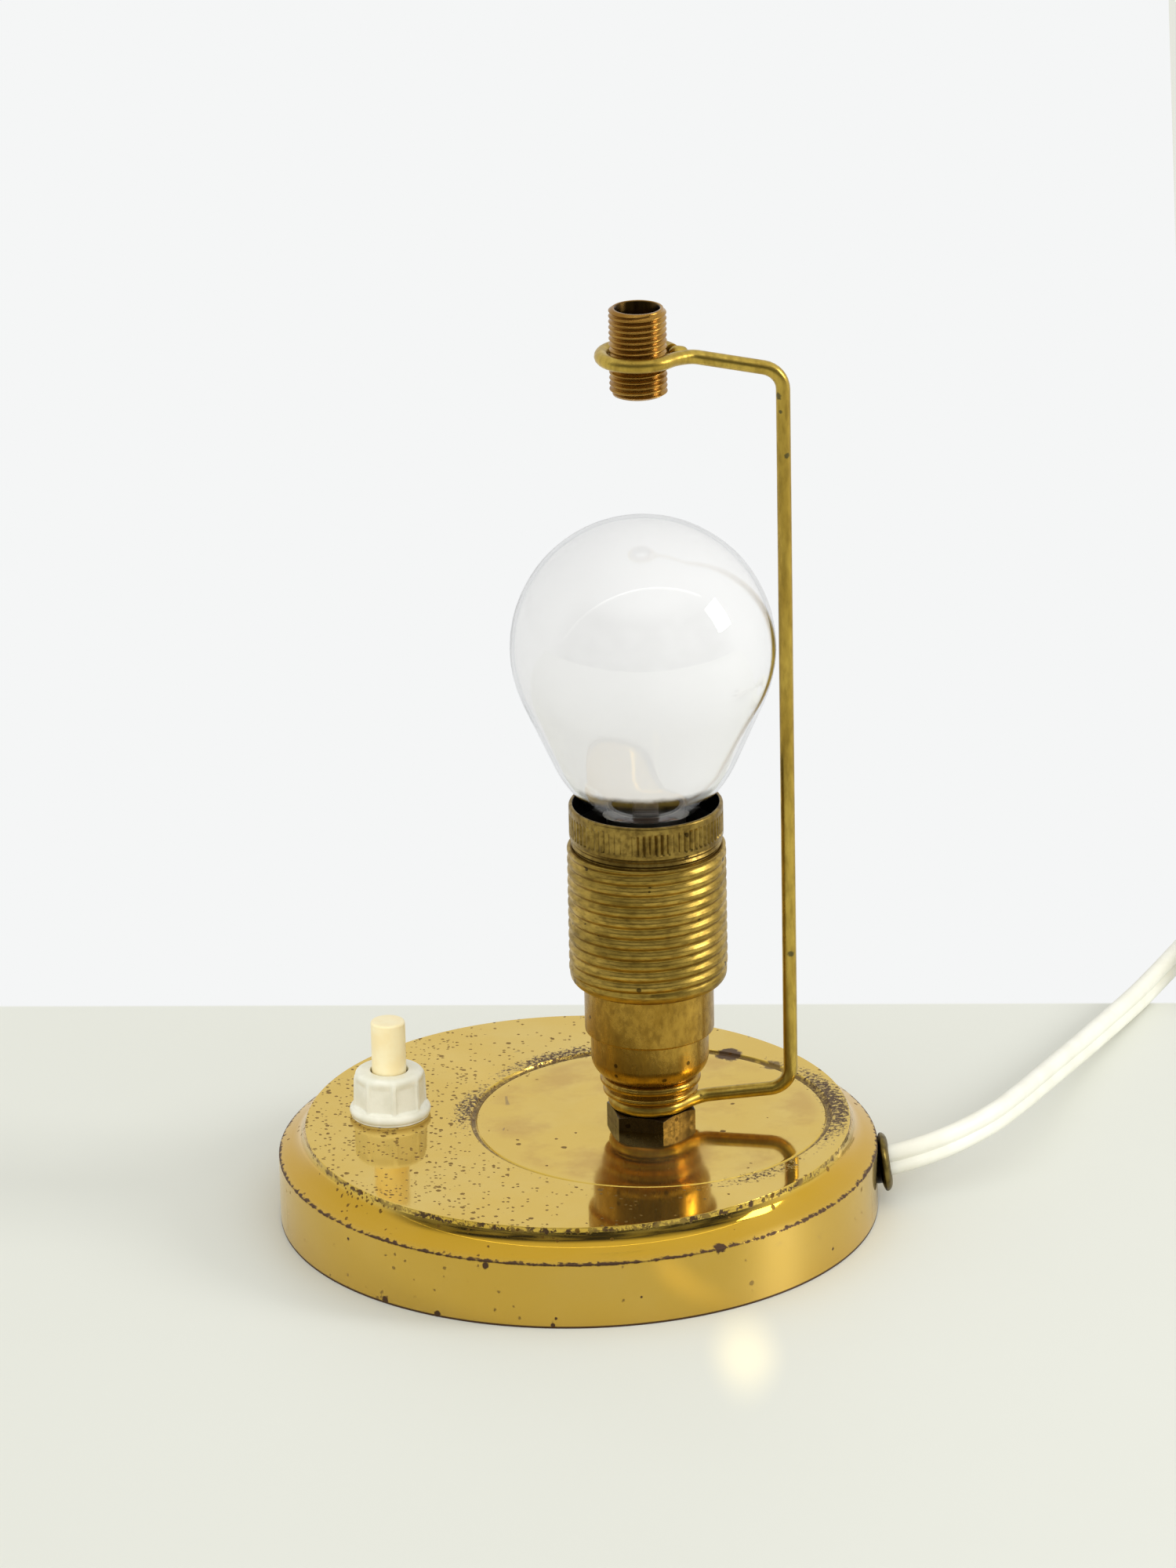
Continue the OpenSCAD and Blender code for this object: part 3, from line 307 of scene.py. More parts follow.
def farFrom(add, place, centre):
    # distance in metres from an upright axis (x, y) or from a point (x, y, z), given in mm
    if len(centre) == 2:
        place = add("VectorMath MULTIPLY", [place, (1, 1, 0)])
        centre = (*centre, 0)
    away = add("VectorMath SUBTRACT", [place, tuple(c * mm for c in centre)])
    return add("VectorMath LENGTH", [away], out="Value")


def nearLine(add, value, at, full, none, ragged=0.0, wander=0.0):
    # strength about the line where a value in metres is at a place in mm: all of it out to one distance and
    # none from another, both shortened by the ragged noise
    gap = add("SUBTRACT", [value, at * mm])
    gap = add("ABSOLUTE", [gap])
    gap = add("MULTIPLY_ADD", [ragged, wander * mm, gap])
    return add("MapRange", [gap, full * mm, none * mm, 1, 0], **smooth)


def nearPoint(add, place, centre, full, none, ragged, wander, strength=1):
    # the same about a point or an upright axis
    away = add("MULTIPLY_ADD", [ragged, wander * mm, farFrom(add, place, centre)])
    return add("MapRange", [away, full * mm, none * mm, strength, 0], **smooth)


def specks(add, place, spacing, dot, density):
    # scattered round pits, spacing and dot in mm; density is the share of cells that hold one
    cells = add("TexVoronoi", {"Vector": place, "Scale": 1000 / spacing}, out=None)
    chosen = add("SeparateColor", [cells["Color"]])
    size = add("MULTIPLY_ADD", [chosen, -dot / spacing * 0.6, dot / spacing])
    spot = add("LESS_THAN", [cells["Distance"], size])
    held = add("LESS_THAN", [chosen, density])
    return add("MULTIPLY", [spot, held])


# lacquered spun brass: a deep yellow mirror, pitted brown where the lacquer has failed
baseLook = {"brass": "#DAB64A", "paler": "#DDBD5E", "wall": "#C6981E", "rubbed": "#B5842E", "spun": "#F0D488",
            "stain": "#54403A", "pit": "#6A4820", "gloss": 0.045, "plateEdge": 48.25, "rimEdge": 11.8,
            "groove": 31.45, "patina": 33.0}
# where the patina by the ring is thick: its direction in degrees, its narrowness and its strength
patinaLobes = ((8, 4.0, 1.0), (122, 8.0, 0.9), (170, 12.0, 0.85), (-56, 12.0, 0.7), (-120, 10.0, 0.3))
# chips and spots on the wall: place and size in mm
wallChips = (((-33.8, -40.8, 0.7), 1.0), ((-24.7, -46.9, 0.6), 0.9), ((-4.9, -52.8, 0.6), 0.6),
             ((-4.3, -52.8, 1.9), 0.45), ((24.2, -47.0, 12.0), 1.7), ((-16.2, -50.4, 11.0), 0.9),
             ((-40.1, -34.6, 9.6), 0.5), ((10.4, -51.9, 5.2), 0.35), ((44.0, -29.5, 3.6), 0.4),
             ((-46.8, -24.9, 13.4), 0.9))


def wornEdgesAndFootShade(add, place, height, fromMiddle, ragged):
    # dark, broken lines where the lacquer is worn off the two edges, and a painted shadow line along the foot
    plateLine = nearLine(add, fromMiddle, baseLook["plateEdge"], 0.39, 0.47, ragged, 0.8)
    patchy = add("MapRange", [grain(add, place, 7, 2, 0.5), 0.4, 0.56], **smooth)
    patchy = add("MapRange", [patchy, 0, 1, 0.55, 1], **smooth)
    plateLine = add("MULTIPLY", [plateLine, patchy])
    rimLine = nearLine(add, height, baseLook["rimEdge"], 0.7, 0.82, ragged, 1.2)
    edges = add("MAXIMUM", [plateLine, rimLine])
    # chips on the wall, and a painted shadow line along the foot where it stands on the felt
    for centre, size in wallChips:
        chip = nearPoint(add, place, centre, size * 1.15, size * 1.35, ragged, size * 1.2)
        edges = add("MAXIMUM", [edges, chip])
    foot = add("MapRange", [height, 0.28 * mm, 0.42 * mm, 1, 0], **smooth)
    return add("MAXIMUM", [edges, foot])


def ringPatina(add, place, fromLamp, ragged, mottle):
    # patina along and outside the pressed ring, mottled, and a dark line in its groove
    groove = nearLine(add, fromLamp, baseLook["groove"], 0.25, 0.58)
    uneven = add("MapRange", [ragged, 0.34, 0.56, 0.45, 0.85], **smooth)
    groove = add("MULTIPLY", [groove, uneven])
    way = add("VectorMath SUBTRACT", [place, (lampAxis[0] * mm, lampAxis[1] * mm, 0)])
    way = add("VectorMath MULTIPLY", [way, (1, 1, 0)])
    way = add("VectorMath NORMALIZE", [way])
    lobes = None
    for turn, narrow, strength in patinaLobes:
        toward = (math.cos(math.radians(turn)), math.sin(math.radians(turn)), 0)
        lobe = add("VectorMath DOT_PRODUCT", [way, toward], out="Value")
        lobe = add("MAXIMUM", [lobe, 0.0])
        lobe = add("POWER", [lobe, narrow])
        lobe = add("MULTIPLY", [lobe, strength])
        lobes = lobe if lobes is None else add("MAXIMUM", [lobes, lobe])
    cover = add("MULTIPLY", [lobes, nearLine(add, fromLamp, baseLook["patina"], 0.5, 4.2)])
    stain = add("MULTIPLY_ADD", [mottle, 3.4, cover])
    stain = add("MapRange", [stain, 2.3, 2.62], **smooth)
    along = add("MULTIPLY_ADD", [lobes, 0.6, 0.92], use_clamp=True)
    groove = add("MULTIPLY", [groove, along])
    return add("MAXIMUM", [stain, groove])


def plateBlots(add, place, ragged):
    # one squarish blot behind the holder and a trail beside it
    blot = nearPoint(add, place, (27.4, 28.6, 16.7), 3.2, 3.9, ragged, 2.4)
    trail = nearPoint(add, place, (35.0, 23.0, 16.7), 2.9, 3.5, ragged, 3.2, 0.8)
    return add("MAXIMUM", [blot, trail])


def brassPits(add, place, parts, fromLamp, mottle):
    # pits: dense on the left half of the plate, sparse on the walls and inside the ring
    leftward = add("MapRange", [parts[0], -0.052, 0.02, 1, 0.06], **smooth)
    broad = add("MapRange", [grain(add, place, 14, 3, 0.6), 0.38, 0.62, 0.35, 1.1], **smooth)
    crowd = add("MULTIPLY", [leftward, broad])
    onPlate = add("MapRange", [parts[2], 12.4 * mm, 16.2 * mm, 0.12, 1], **smooth)
    crowd = add("MULTIPLY", [crowd, onPlate])
    outsideRing = add("MapRange", [fromLamp, 31 * mm, 33 * mm, 0.06, 1], **smooth)
    crowd = add("MULTIPLY", [crowd, outsideRing])
    uneven = add("VectorMath MULTIPLY_ADD", [mottle, (0.9 * mm, -0.7 * mm, 0.5 * mm), place])
    fine = specks(add, uneven, 0.85, 0.31, add("MULTIPLY", [crowd, 0.62]))
    coarse = specks(add, uneven, 2.0, 0.5, add("MULTIPLY_ADD", [crowd, 0.34, 0.01]))
    return add("MAXIMUM", [fine, coarse])


def makeSpunBrass():
    material, add, place = startMaterial("lacqueredSpunBrass")
    parts = add("SeparateXYZ", [place], out=None)
    fromMiddle = farFrom(add, place, (0, 0))
    fromLamp = farFrom(add, place, lampAxis)
    ragged = grain(add, place, 1.3, 4, 0.7)
    mottle = grain(add, place, 0.8, 5, 0.75)
    edges = wornEdgesAndFootShade(add, place, parts[2], fromMiddle, ragged)
    stain = ringPatina(add, place, fromLamp, ragged, mottle)
    # dirt here holds the real stains and wear, and also the painted shadow line along the foot
    dirtAndFootShade = add("MAXIMUM", [edges, stain])
    dirtAndFootShade = add("MAXIMUM", [dirtAndFootShade, plateBlots(add, place, ragged)])
    pits = brassPits(add, place, parts, fromLamp, mottle)
    marksAndFootShade = add("MAXIMUM", [pits, dirtAndFootShade])
    # fine rubbing scratches, drawn as long broken lines
    rings = add("VectorMath MULTIPLY", [place, (0.4, 0.4, 3.0)])
    scratches = add("SUBTRACT", [grain(add, rings, 9, 1, 0.4), 0.5])
    scratches = add("ABSOLUTE", [scratches])
    scratches = add("MapRange", [scratches, 0.0015, 0.004, 1, 0], **smooth)
    places = add("MapRange", [grain(add, place, 6), 0.62, 0.68], **smooth)
    scratches = add("MULTIPLY", [scratches, places])
    haze = add("MapRange", [grain(add, place, 22, 4, 0.65), 0.35, 0.75], **smooth)
    colour = add("Mix", {0: haze, 6: baseLook["brass"], 7: baseLook["paler"]}, **asColour)
    # painted shade: the walls are coloured a deeper gold than the plate, deepest on the shoulder
    below = add("MapRange", [parts[2], 16.0 * mm, 14.6 * mm, 0, 0.75], **smooth)
    onWall = add("MapRange", [parts[2], 11.9 * mm, 11.3 * mm, 1, 0.6], **smooth)
    paintedWallShade = add("MULTIPLY", [below, onWall])
    colour = add("Mix", {0: paintedWallShade, 6: colour, 7: baseLook["wall"]}, **asColour)
    # inside the ring the plate is duller, rubbed brown in arcs about the holder
    inside = add("MapRange", [fromLamp, 31 * mm, 28 * mm], **smooth)
    rubbed = add("MapRange", [grain(add, place, 12, 4, 0.6), 0.42, 0.66], **smooth)
    rubbed = add("MULTIPLY", [inside, rubbed])
    for cover, share, tone in ((rubbed, 0.45, "rubbed"), (scratches, 0.5, "stain"), (dirtAndFootShade, 0.92, "stain"),
                               (pits, 0.8, "pit")):
        cover = add("MULTIPLY", [cover, share])
        colour = add("Mix", {0: cover, 6: colour, 7: baseLook[tone]}, **asColour)
    shine = add("MULTIPLY_ADD", [haze, 0.06, baseLook["gloss"]])
    shine = add("MULTIPLY_ADD", [rubbed, 0.07, shine])
    shine = add("MULTIPLY_ADD", [marksAndFootShade, 0.5, shine])
    ripple = add("MULTIPLY", [grain(add, place, 9, 1, 0.4), 0.35])
    height = add("MULTIPLY_ADD", [dirtAndFootShade, -0.15, ripple])
    normal = add("Bump", {"Height": height, "Distance": 0.05 * mm})
    look = {"Base Color": colour, "Metallic": 1.0, "Roughness": shine, "Normal": normal}
    mirror = add("BsdfPrincipled", look)
    # the lathe's fine grooves spread a weak upright streak of each light over the walls
    tangent = add("Tangent", direction_type="RADIAL", axis="Z")
    pale = add("Mix", {0: dirtAndFootShade, 6: baseLook["spun"], 7: baseLook["stain"]}, **asColour)
    spun = add("BsdfPrincipled", {
        "Base Color": pale, "Metallic": 1.0, "Roughness": 0.5, "Normal": normal, "Tangent": tangent,
        "Anisotropic": 0.98, "Anisotropic Rotation": 0.25})
    share = add("MapRange", [parts[2], 12.6 * mm, 11.7 * mm, 0.04, 0.25], **smooth)
    both = add("MixShader", [share, mirror, spun])
    add("OutputMaterial", {"Surface": both}, out=None)
    return material


def makeOldBrass(name, bright, dull, dark, gloss, stretch, spots, grime, shaded=None, blots=(), depth=0.02):
    # unlacquered brass, handled and browned: satin, darker in the hollows of its blotches
    material, add, place = startMaterial(name)
    cloud = add("MapRange", [grain(add, place, 7, 5, 0.65, stretch), 0.34, 0.68], **smooth)
    streak = add("MapRange", [grain(add, place, 1.1, 3, 0.6, stretch), 0.35, 0.75], **smooth)
    colour = add("Mix", {0: cloud, 6: bright, 7: dull}, **asColour)
    dots = specks(add, place, 2.2, 0.5, spots)
    for cover, share, tone in ((streak, grime, dark), (dots, 0.8, "#2E2110")):
        cover = add("MULTIPLY", [cover, share])
        colour = add("Mix", {0: cover, 6: colour, 7: tone}, **asColour)
    for centre, size in blots:
        blot = nearPoint(add, place, centre, size, size * 1.4, grain(add, place, 0.8, 3, 0.7), size, 0.8)
        colour = add("Mix", {0: blot, 6: colour, 7: "#4A4A36"}, **asColour)
    # painted shade: nearly black where the shaded mask gives it, in bores and hollows
    if shaded:
        colour = add("Mix", {0: shaded(add, place), 6: colour, 7: "#0C0906"}, **asColour)
    shine = add("MULTIPLY_ADD", [cloud, 0.1, gloss])
    shine = add("MULTIPLY_ADD", [streak, 0.1, shine])
    height = add("MULTIPLY_ADD", [streak, 0.3, grain(add, place, 0.6, 2, 0.6, stretch)])
    normal = add("Bump", {"Height": height, "Distance": depth * mm})
    look = {"Base Color": colour, "Metallic": 1.0, "Roughness": shine, "Normal": normal}
    add("OutputMaterial", {"Surface": add("BsdfPrincipled", look)}, out=None)
    return material


def makePlain(name, first, second, size, rough, metal=0.0, depth=0.01, coat=0.0, sheen=0.0):
    # one even finish with the slight unevenness of how it was made
    material, add, place = startMaterial(name)
    cloud = grain(add, place, size, 4, 0.6)
    patchy = add("MapRange", [cloud, 0.35, 0.65], **smooth)
    colour = add("Mix", {0: patchy, 6: first, 7: second}, **asColour)
    shine = add("MULTIPLY_ADD", [cloud, 0.08, rough])
    normal = add("Bump", {"Height": grain(add, place, size / 6, 3, 0.6), "Distance": depth * mm})
    surface = add("BsdfPrincipled", {"Base Color": colour, "Metallic": metal, "Roughness": shine,
                                     "Normal": normal, "Coat Weight": coat, "Sheen Weight": sheen})
    add("OutputMaterial", {"Surface": surface}, out=None)
    return material


def insideRadius(radius, edge, share=1):
    # painted shade nearer than radius to the lamp's axis, full at the edge radius
    return lambda add, place: add(
        "MapRange", [farFrom(add, place, lampAxis), radius * mm, edge * mm, 0, share], **smooth)


def bushBack(add, place):
    # painted shade on the part of the bush that is close to the wall
    depth = add("VectorMath DOT_PRODUCT", [place, (0.9912, 0, 0.1323)], out="Value")
    return add("MapRange", [depth, 54.75 * mm, 54.35 * mm], **smooth)


spunBrass = makeSpunBrass()
# shiny on the bends, browned in between
capBrass = makeOldBrass("burnishedCapBrass", "#B8933F", "#9A772C", "#62461A", 0.2, (1, 1, 0.5), 0.07, 0.45)
# dull gold, grimy round the thread
sleeveBrass = makeOldBrass(
    "rolledSleeveBrass", "#BFA04C", "#9A8038", "#564018", 0.3, (0.5, 0.5, 1.6), 0.08, 0.6)
# darker, tarnished, with painted shade inside its bore
collarBrass = makeOldBrass("tarnishedCollarBrass", "#A48A46", "#806830", "#4A3616", 0.28, (1, 1, 1), 0.06,
                           0.6, insideRadius(12.98, 12.84))
# pale gold, with a few dark blots
rodBrass = makeOldBrass("drawnRodBrass", "#CBAE52", "#B0923E", "#6E5722", 0.26, (1, 1, 0.3), 0.05, 0.4, None,
                        [((36.9, -0.3, 150.2), 0.9), ((38.3, -0.5, 139.5), 0.7), ((37.2, -0.6, 147.4), 0.5),
                         ((30.0, -0.4, 158.0), 0.6), ((38.0, -0.5, 47.5), 0.8)])
# brown gold, smooth, with painted shade inside its bore
nippleBrass = makeOldBrass("brownedNippleBrass", "#B28A42", "#966C2C", "#5E4018", 0.18, (0.6, 0.6, 1.4), 0.0,
                           0.12, insideRadius(4.1, 3.9, 0.85), (), 0.004)
# nearly black with old tarnish
nutBrass = makeOldBrass("brownedNutBrass", "#5E5038", "#463A2A", "#261E14", 0.24, (1, 1, 1), 0.05, 0.6)
# brown, with painted shade next to the wall
bushBrass = makeOldBrass("brownedBushBrass", "#86753E", "#6A592C", "#342A14", 0.3, (1, 1, 1), 0.05, 0.6,
                         bushBack)
innerBrass = makePlain("turnedBrass", "#C9A35A", "#B8924A", 4, 0.28, 1.0)  # clean yellow, bright
shellCopper = makePlain("copperPlatedShell", "#B4763A", "#8F5526", 3, 0.3, 1.0)  # red-brown, satin
castIron = makePlain("castIron", "#4A4744", "#3A3735", 2.5, 0.6, 0.6, 0.15)  # dark grey, rough
zincSteel = makePlain("zincPlatedSteel", "#A9A9A4", "#8F8F8A", 5, 0.32, 1.0)  # cool grey, with a dull shine
coverSteel = makePlain("lacqueredSheetSteel", "#8B8578", "#7A7466", 8, 0.45, 0.7)  # warm grey, half matt
felt = makePlain("woolFelt", "#3D4A3A", "#2F3A2E", 0.8, 0.95, 0.0, 0.2, 0.0, 0.6)  # dark green, fuzzy
porcelain = makePlain("glazedPorcelain", "#E9E6DC", "#DDD8CB", 6, 0.18, 0.0, 0.01, 0.3)  # ivory, glossy
capMetal = makePlain("nickelPlatedCap", "#A8A49A", "#8E897C", 4, 0.26, 1.0)  # warm grey, smooth
vitrite = makePlain("blackGlassInsulator", "#1D1B1B", "#262321", 4, 0.2)  # black and glossy
solder = makePlain("tinSolder", "#B9B9B5", "#9A9A96", 1.5, 0.35, 1.0, 0.05)  # pale grey, a lumpy drop
tungsten = makePlain("tungstenWire", "#6B6B68", "#58585A", 1, 0.4, 1.0)  # dark grey, fine and dull
# painted shade: the clear stem is coloured dark grey, as it shows dark inside the neck
stemGlass = makePlain("leadGlassStem", "#5B5550", "#4A443E", 5, 0.12)  # dark against the light, smooth
switchPlastic = makePlain("pressedUreaBody", "#E4DDC8", "#D6CEB6", 6, 0.4)  # cream, half matt
collarPlastic = makePlain("mouldedUreaCollar", "#F4F2E2", "#EAE8D6", 3.5, 0.3, 0.0, 0.02, 0.15)  # near white
buttonPlastic = makePlain("mouldedUreaButton", "#FFF2C6", "#FCE9B4", 5, 0.3, 0.0, 0.015, 0.2)  # warm ivory
springSteel = makePlain("springSteel", "#8F9092", "#7D7E80", 2, 0.3, 1.0)  # grey, drawn bright
saddlePlastic = makePlain("pressedFibreSaddle", "#DDD8C8", "#CFC9B6", 3, 0.55)  # pale, dull and flat
leadVinyl = makePlain("softVinylLead", "#EFEEE2", "#E9E7D9", 9, 0.36, 0.0, 0.02)  # off-white, satin
greyWire = makePlain("greyVinylWire", "#D7D3C4", "#C7C3B4", 4, 0.45)  # pale grey, soft
brownWire = makePlain("brownVinylWire", "#7A3F2C", "#693423", 4, 0.45)  # brown, soft
plugVinyl = makePlain("mouldedPlugVinyl", "#EFECE0", "#E6E2D4", 7, 0.42, 0.0, 0.02)  # off-white, half matt
pinNickel = makePlain("nickelPlatedPins", "#B9B7AD", "#A5A298", 5, 0.2, 1.0)  # bright, slightly warm
print("materials made")


def makeBulbGlass():
    # clear soda-lime glass; lamps shine through it unbent, so what is inside is lit
    material, add, place = startMaterial("clearBlownGlass")
    ripple = add("Bump", {"Height": grain(add, place, 14, 1, 0.3), "Distance": 0.05 * mm})
    look = {"Transmission Weight": 1.0, "IOR": 1.5, "Roughness": 0.0, "Normal": ripple}
    path = add("LightPath", out=None)
    soft = add("MAXIMUM", [path["Is Shadow Ray"], path["Is Diffuse Ray"]])
    both = add("MixShader", [soft, add("BsdfPrincipled", look), add("BsdfTransparent")])
    add("OutputMaterial", {"Surface": both}, out=None)
    return material


# white inner coat: fine silica dust, thinning out raggedly above the neck
coatLook = {"foot": 80.9, "fade": 0.5, "ragged": 1.6, "bright": "#BEBEBE", "dull": "#BABABA", "glow": 0.5}


def makeCoat():
    # the weak glow stands for the light that the thin coat lets through from behind
    material, add, place = startMaterial("silicaCoat")
    height = add("SeparateXYZ", [place], out="Z")
    cloud = grain(add, place, 12, 3, 0.5)
    white = add("Mix", {0: cloud, 6: coatLook["bright"], 7: coatLook["dull"]}, **asColour)
    ragged = grain(add, place, 3, 4, 0.7)
    edge = add("MULTIPLY_ADD", [ragged, coatLook["fade"] * 2 * mm, height])
    foot = (coatLook["foot"] + coatLook["fade"]) * mm
    cover = add("MapRange", [edge, foot, foot + coatLook["ragged"] * mm], **smooth)
    dust = add("BsdfPrincipled", {
        "Base Color": white, "Roughness": 0.9, "Specular IOR Level": 0.1, "Alpha": cover,
        "Emission Color": (1, 1, 1, 1), "Emission Strength": coatLook["glow"]})
    add("OutputMaterial", {"Surface": dust}, out=None)
    return material


bulbGlass = makeBulbGlass()
silicaCoat = makeCoat()


# the lead, first of all the pieces

leadSettings = {"width": 5.6, "thickness": 3.2, "strandAt": 1.2, "resolution": 4, "coilMiddle": (157, 110),
                "coilStart": 153, "coilRadius": 37.5, "sidePitch": 3.75, "layerPitch": 6.15, "turns": 8.425}
leadRoute = [(44, 0, 6), (50, 0, 6.8), (54.5, 0.05, 7.4), (58.6, 0.65, 8.15), (62.6, 1.95, 8.9),
             (66.3, 3.93, 9.55), (69.65, 6.6, 10), (72.6, 9.85, 10.2), (75.3, 13.9, 10.1), (77.7, 18.7, 9.8),
             (80.1, 24.2, 9.2), (82.7, 30.8, 8.4), (85.7, 38.8, 7.3), (89.2, 48, 6.1), (92.9, 57.2, 5),
             (96.7, 66.3, 4.2), (100.6, 75.4, 3.5), (104.6, 84.5, 3), (108.5, 93.5, 2.8), (112.4, 102.5, 2.8),
             (116.3, 111.6, 2.8)]
tailRoute = [(194.5, 98, 8.2), (194.5, 90, 6.2), (194.5, 82, 4.2), (194.5, 74, 3.1), (194.5, 67, 2.9),
             (194.5, 60, 3.8), (194.5, 54, 5.4), (194.5, 47, 6.85)]


def coilPoint(u):
    # the coil's middle line after u turns: inwards on the table, up over itself, and outwards again
    s = leadSettings
    turn = math.radians(s["coilStart"] - 360 * u)
    radius = s["coilRadius"] - s["sidePitch"] * min(u, s["turns"] - u)
    climb = max(0.0, min(1.0, (u - s["turns"] / 2) * 2 + 0.5))
    return Vector((s["coilMiddle"][0] + radius * math.cos(turn), s["coilMiddle"][1] + radius * math.sin(turn),
                   s["width"] / 2 + s["layerPitch"] * climb * climb * (3 - 2 * climb)))


def coilWay(u):
    # its direction there
    turn = math.radians(leadSettings["coilStart"] - 360 * u)
    return Vector((math.sin(turn), -math.cos(turn), 0))


def makeLead():
    s = leadSettings
    rings = math.ceil(s["turns"] * 24)
    route = [Vector(p) for p in leadRoute] + [coilPoint(0) - coilWay(0) * s["width"]]
    route += [coilPoint(s["turns"] * i / rings) for i in range(rings + 1)]
    route += [coilPoint(s["turns"]) + coilWay(s["turns"]) * s["width"]] + [Vector(p) for p in tailRoute]
    # section: two strands side by side with a groove between them, its width upright
    bpy.ops.curve.primitive_bezier_circle_add(radius=mm)
    section = bpy.context.object
    section.data.splines.clear()
    rounded = section.data.splines.new("POLY")
    around = []
    half = math.degrees(math.acos(s["strandAt"] / (s["thickness"] / 2)))
    for side in (1, -1):
        start = side * 90 - 180 + half
        around += arc((0, side * s["strandAt"]), s["thickness"] / 2, start, start + 360 - 2 * half, 10)
    rounded.points.add(len(around) - 1)
    for point, (x, y) in zip(rounded.points, around):
        point.co = (x * mm, y * mm, 0, 1)
    rounded.use_cyclic_u = True
    bpy.ops.curve.primitive_bezier_curve_add()
    lead = bpy.context.object
    lead.name = "twinLead"
    line = lead.data
    line.splines.clear()
    spline = line.splines.new("BEZIER")
    spline.bezier_points.add(len(route) - 1)
    for point, place in zip(spline.bezier_points, route):
        point.co = place * mm
        point.handle_left_type = point.handle_right_type = "AUTO"
    line.dimensions = "3D"
    line.twist_mode = "Z_UP"
    line.resolution_u = s["resolution"]
    line.bevel_mode = "OBJECT"
    line.bevel_object = section
    line.use_fill_caps = True
    takeHold(lead)
    bpy.context.view_layer.update()
    length = sum((b - a).length for a, b in zip(route, route[1:]))
    bpy.ops.object.convert(target="MESH")
    bpy.data.objects.remove(section)
    tidyMesh(lead, 1e-7)
    finishPiece(lead, "lamp", leadVinyl, ("cord_lead", "cord_coil", "cord_tail"), 50, False)
    return lead, [tuple(p * mm) for p in route], length * mm


lead, leadPath, leadLength = makeLead()
print("lead made, length", round(leadLength, 4))


# base: spun shell with its pressed ring

shellSettings = {"rimRadius": 53.0, "rimHeight": 11.8, "coveMiddle": (52.4, 16.714), "coveRadius": 4.2,
                 "plateRadius": 48.2, "plateHeight": 16.714, "ringRadius": 31.3, "ringFloor": 16.364,
                 "grooveRadius": 0.6, "wall": 1.0, "steps": 256, "neckHole": 5.1, "bushHole": 4.1,
                 "bushTilt": 82.4}


def makeShell():
    s = shellSettings
    rim, plate, floor = s["rimRadius"], s["plateHeight"], s["ringFloor"]
    cove = arc(s["coveMiddle"], s["coveRadius"], 245, 182, 14)
    outline = softened([(rim, 0.0), (rim, 0.3), (rim, s["rimHeight"], 0.35),
                        (cove[0][0], cove[0][1], 0.25)] + cove[1:] +
                       [(s["plateRadius"], plate, 0.13), (47.4, plate),
                        (46.4, plate)])
    shell = lathe("spunShell", outline, (0, 0), s["steps"])
    groove = arc((s["ringRadius"], plate), s["grooveRadius"], 0, -180, 12)
    floorEdge = s["ringRadius"] - math.sqrt(s["grooveRadius"] ** 2 - (plate - floor) ** 2)
    groove = [p for p in groove if p[0] > floorEdge + 0.02]
    seat = softened([(32.6, plate), (groove[0][0] + 0.12, plate)] + groove[1:] +
                    [(floorEdge, floor, 0.08), (floorEdge - 0.5, floor), (20, floor),
                     (9, floor), (5.2, floor)])
    ring = lathe("pressedRing", seat, lampAxis, s["steps"])
    joinTo(shell, ring)
    editMode()
    top = plate * mm
    pickEdges(shell, lambda e: e.is_boundary and all(
        abs(v.co.z - top) < 1e-6 and v.co.xy.length > 19 * mm for v in e.verts))
    bpy.ops.mesh.bridge_edge_loops()
    faceOut()
    applyModifier(shell, "SOLIDIFY", thickness=s["wall"] * mm, offset=-1, use_even_offset=True)
    # holes for the switch's neck and for the lead's bush
    drill(shell, s["neckHole"], 6, (*switchAxis, 16), (0, 0, 0))
    drill(shell, s["bushHole"], 10, (52, 0, 6.96), (0, s["bushTilt"], 0))
    finishPiece(shell, "lamp", spunBrass, ("base_shell",), 32)


makeShell()
print("base shell made")


# hexagon nut on the plate

nutSettings = {"flats": 14.0, "height": 2.7, "foot": 16.364, "turn": 44.5, "bore": 5.05, "edge": 0.14}


def makeNut():
    s = nutSettings
    corner = s["flats"] / 2 / math.cos(math.pi / 6)
    middle = Vector((*lampAxis, s["foot"] + s["height"] / 2))
    bpy.ops.mesh.primitive_cylinder_add(vertices=6, radius=corner * mm, depth=s["height"] * mm,
                                        location=middle * mm, rotation=(0, 0, math.radians(s["turn"] - 90)))
    nut = bpy.context.object
    nut.name = "stemNut"
    applyPlace(nut)
    low, high, flat = s["foot"], s["foot"] + s["height"], s["flats"] / 2
    chamfer = [(0, low), (flat + 1.6, low), (flat + 1.6, high - 0.75), (flat + 0.1, high), (0, high)]
    cutWith(nut, lathe("turnedChamfer", chamfer, lampAxis, 96), "INTERSECT")
    bore = [(0, low - 1), (s["bore"], low - 1), (s["bore"], high + 1), (0, high + 1)]
    cutWith(nut, lathe("nutBore", bore, lampAxis, 64))
    applyModifier(nut, "BEVEL", width=s["edge"] * mm, segments=2, limit_method="ANGLE",
                  angle_limit=math.radians(28))
    finishPiece(nut, "lamp", nutBrass, ("stem_nut",), 40)


makeNut()


# bent rod: one length of wire from the lower eye to the upper one, each eye closed with solder

rodSettings = {"radius": 1.25, "eyeRadius": 6.3, "reach": 24.75, "bend": 4.0, "lowEye": 20.314,
               "highEye": 157.7, "rise": 5.0, "fall": 10.4, "leave": -36, "end": 22, "armAt": 10.2,
               "solderAt": 7.4, "solder": 1.296, "solderShape": (1.35, 1.1, 0.95)}


